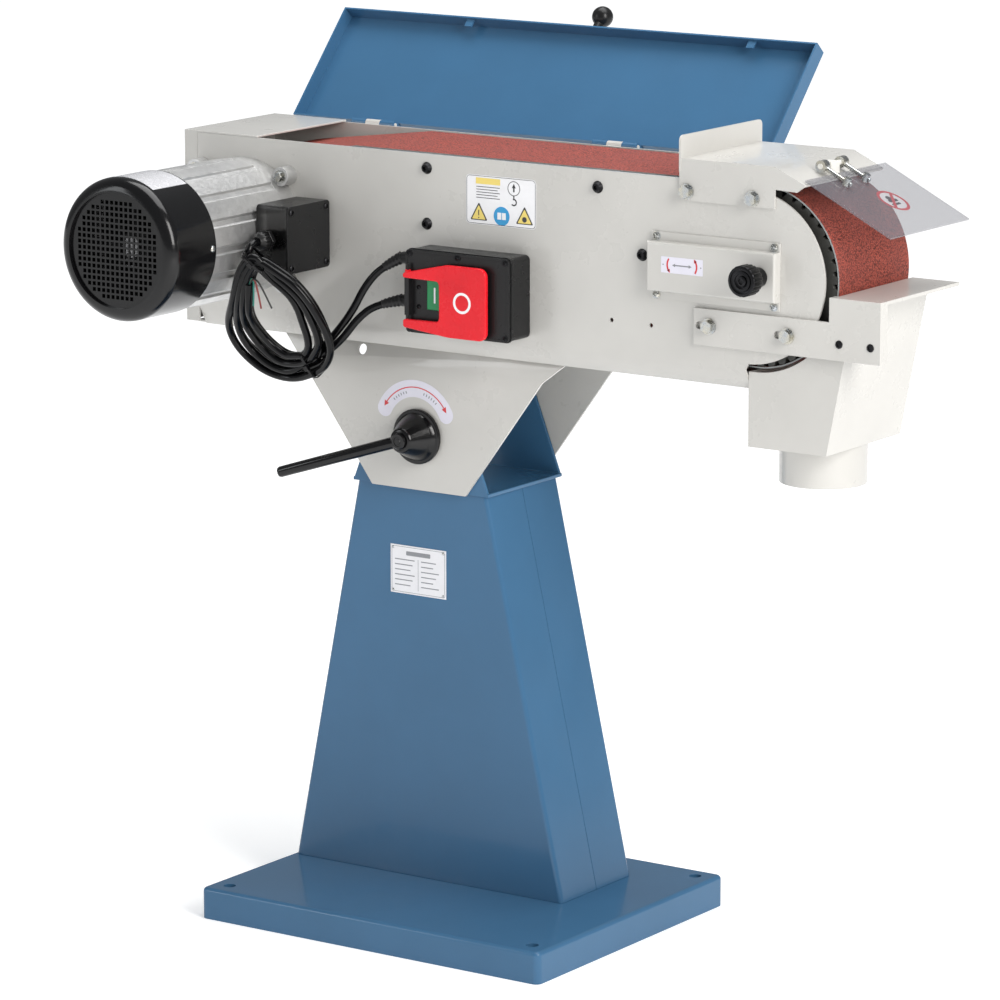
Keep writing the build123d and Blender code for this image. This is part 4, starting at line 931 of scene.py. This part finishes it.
def boot(name, line, length, ribs, radii):
    """Ribbed, tapering strain relief that follows the first stretch of a cord."""
    stations, walked = [], 0.0
    steps = ribs * 4
    ahead = 0
    for k in range(steps + 1):
        goal = length * k / steps
        while walked + (line[ahead + 1] - line[ahead]).length < goal:
            walked += (line[ahead + 1] - line[ahead]).length
            ahead += 1
        span = line[ahead + 1] - line[ahead]
        centre = line[ahead] + span * ((goal - walked) / span.length)
        radius = radii[0] + (radii[1] - radii[0]) * k / steps
        stations.append((centre, span.normalized(), radius - (0.7 if k % 4 in (2, 3) else 0.0)))
    bm, rings, segments = bmesh.new(), [], 32
    for centre, way, radius in stations:
        u, v = across_to(way)
        rings.append([bm.verts.new(centre + (u * math.cos(2 * math.pi * i / segments)
                                             + v * math.sin(2 * math.pi * i / segments)) * radius * MM)
                      for i in range(segments)])
    for low, high in zip(rings, rings[1:]):
        for i in range(segments):
            j = (i + 1) % segments
            bm.faces.new([low[i], low[j], high[j], high[i]])
    bm.faces.new(rings[0])
    bm.faces.new(rings[-1])
    return piece_from(name, bm, "black_plastic", "arm", 35)


def tie(name, middle, along, half_wide, half_tall, bulge=0.0):
    """A strap round the hank, with its ratchet head and cut tail; along is the cord's way in the plane."""
    strap = 1.2
    bm = bmesh.new()
    way = Vector(along).normalized()
    side_u, side_s = way.y, -way.x

    def place(v, w, t):
        u = middle[0] + side_u * v + way.x * t
        s = middle[1] + side_s * v + way.y * t
        return hank_point(u, s, w + bulge)

    def centred(length):
        return lambda u, v, w: place(u, v, w - length / 2)

    outer = oblong((-half_wide - strap, -half_tall - strap), (half_wide + strap, half_tall + strap), 6)
    inner = oblong((-half_wide, -half_tall), (half_wide, half_tall), 5)
    head = oblong((-3.5, half_tall + 0.6), (3.5, half_tall + 4.6), 1)
    tail = oblong((2.5, half_tall + 1.6), (13.0, half_tall + 2.6), 0.3)
    hoop(bm, inner, outer, centred(4.0), 4.0)
    slab(bm, head, centred(6.4), 6.4)
    slab(bm, tail, centred(3.6), 3.6)
    return piece_from(name, bm, "cord_sheath", "arm", 40, 0.2)


def make_cords():
    """Motor cable from the gland round the hank to the switch; supply cord from the switch round the hank."""
    motor_turns = strand(2, 39, 1, [(0.84, -4.4), (0.50, -4.4), (0.16, -4.4)],
                         [(0.72, -4.6), (0.28, -4.6)])
    motor = cord_curve("motor_cable_run", GLAND_ROUTE + motor_turns + MOTOR_ROUTE)
    supply_turns = strand(55, 1, -1, [(0.66, 4.4), (0.99, 4.4), (0.33, 4.4), (0.0, 4.4)],
                          [(0.98, 4.6), (0.50, 4.6), (0.02, 4.6)])
    supply = cord_curve("supply_cord_run", SUPPLY_ROUTE + supply_turns)
    lines = {"motor": line_of(motor), "supply": line_of(supply)}

    end = lines["supply"][-1]
    for name, sway in (("core_green", (-3, -1, 0)), ("core_red", (4, 1, -2)), ("core_black", (15, 2, -1))):
        lean = Vector(sway) * MM
        route = [end + mm(0.6, 0.5, -1), end + mm(2, 2, 7) + lean * 0.1, end + mm(5, 4, 4) + lean * 0.3,
                 end + mm(5, 5, -4) + lean * 0.6, end + mm(5, 7, -14) + lean * 0.9,
                 end + mm(5, 8, -26) + lean * 1.3]
        cord_curve(name, route, name, CORE_D)

    ties = [tie("tie_top", (-177, 165), (-0.75, -0.66), 14.6, 9.8, 5.0),
            tie("tie_lower", (-144.5, 26.5), (0.93, 0.365), 16.6, 9.6)]
    boots = [boot("supply_boot", lines["supply"], 0.024, 5, (7.4, 5.4)),
             boot("motor_boot", lines["motor"][::-1], 0.024, 5, (7.4, 5.4))]
    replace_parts(motor, "motor_cable")
    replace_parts(supply, "supply_cord", "cord_hank")
    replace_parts(ties[0], "cable_ties")


# ---- run ---------------------------------------------------------------------------------------
make_camera()
make_looks()
make_studio()
dress_nodes()
make_lever()
make_knob()
make_gland()
make_tyre()
make_paddle()
make_switch_trim()
make_screws()
make_labels()
make_cords()
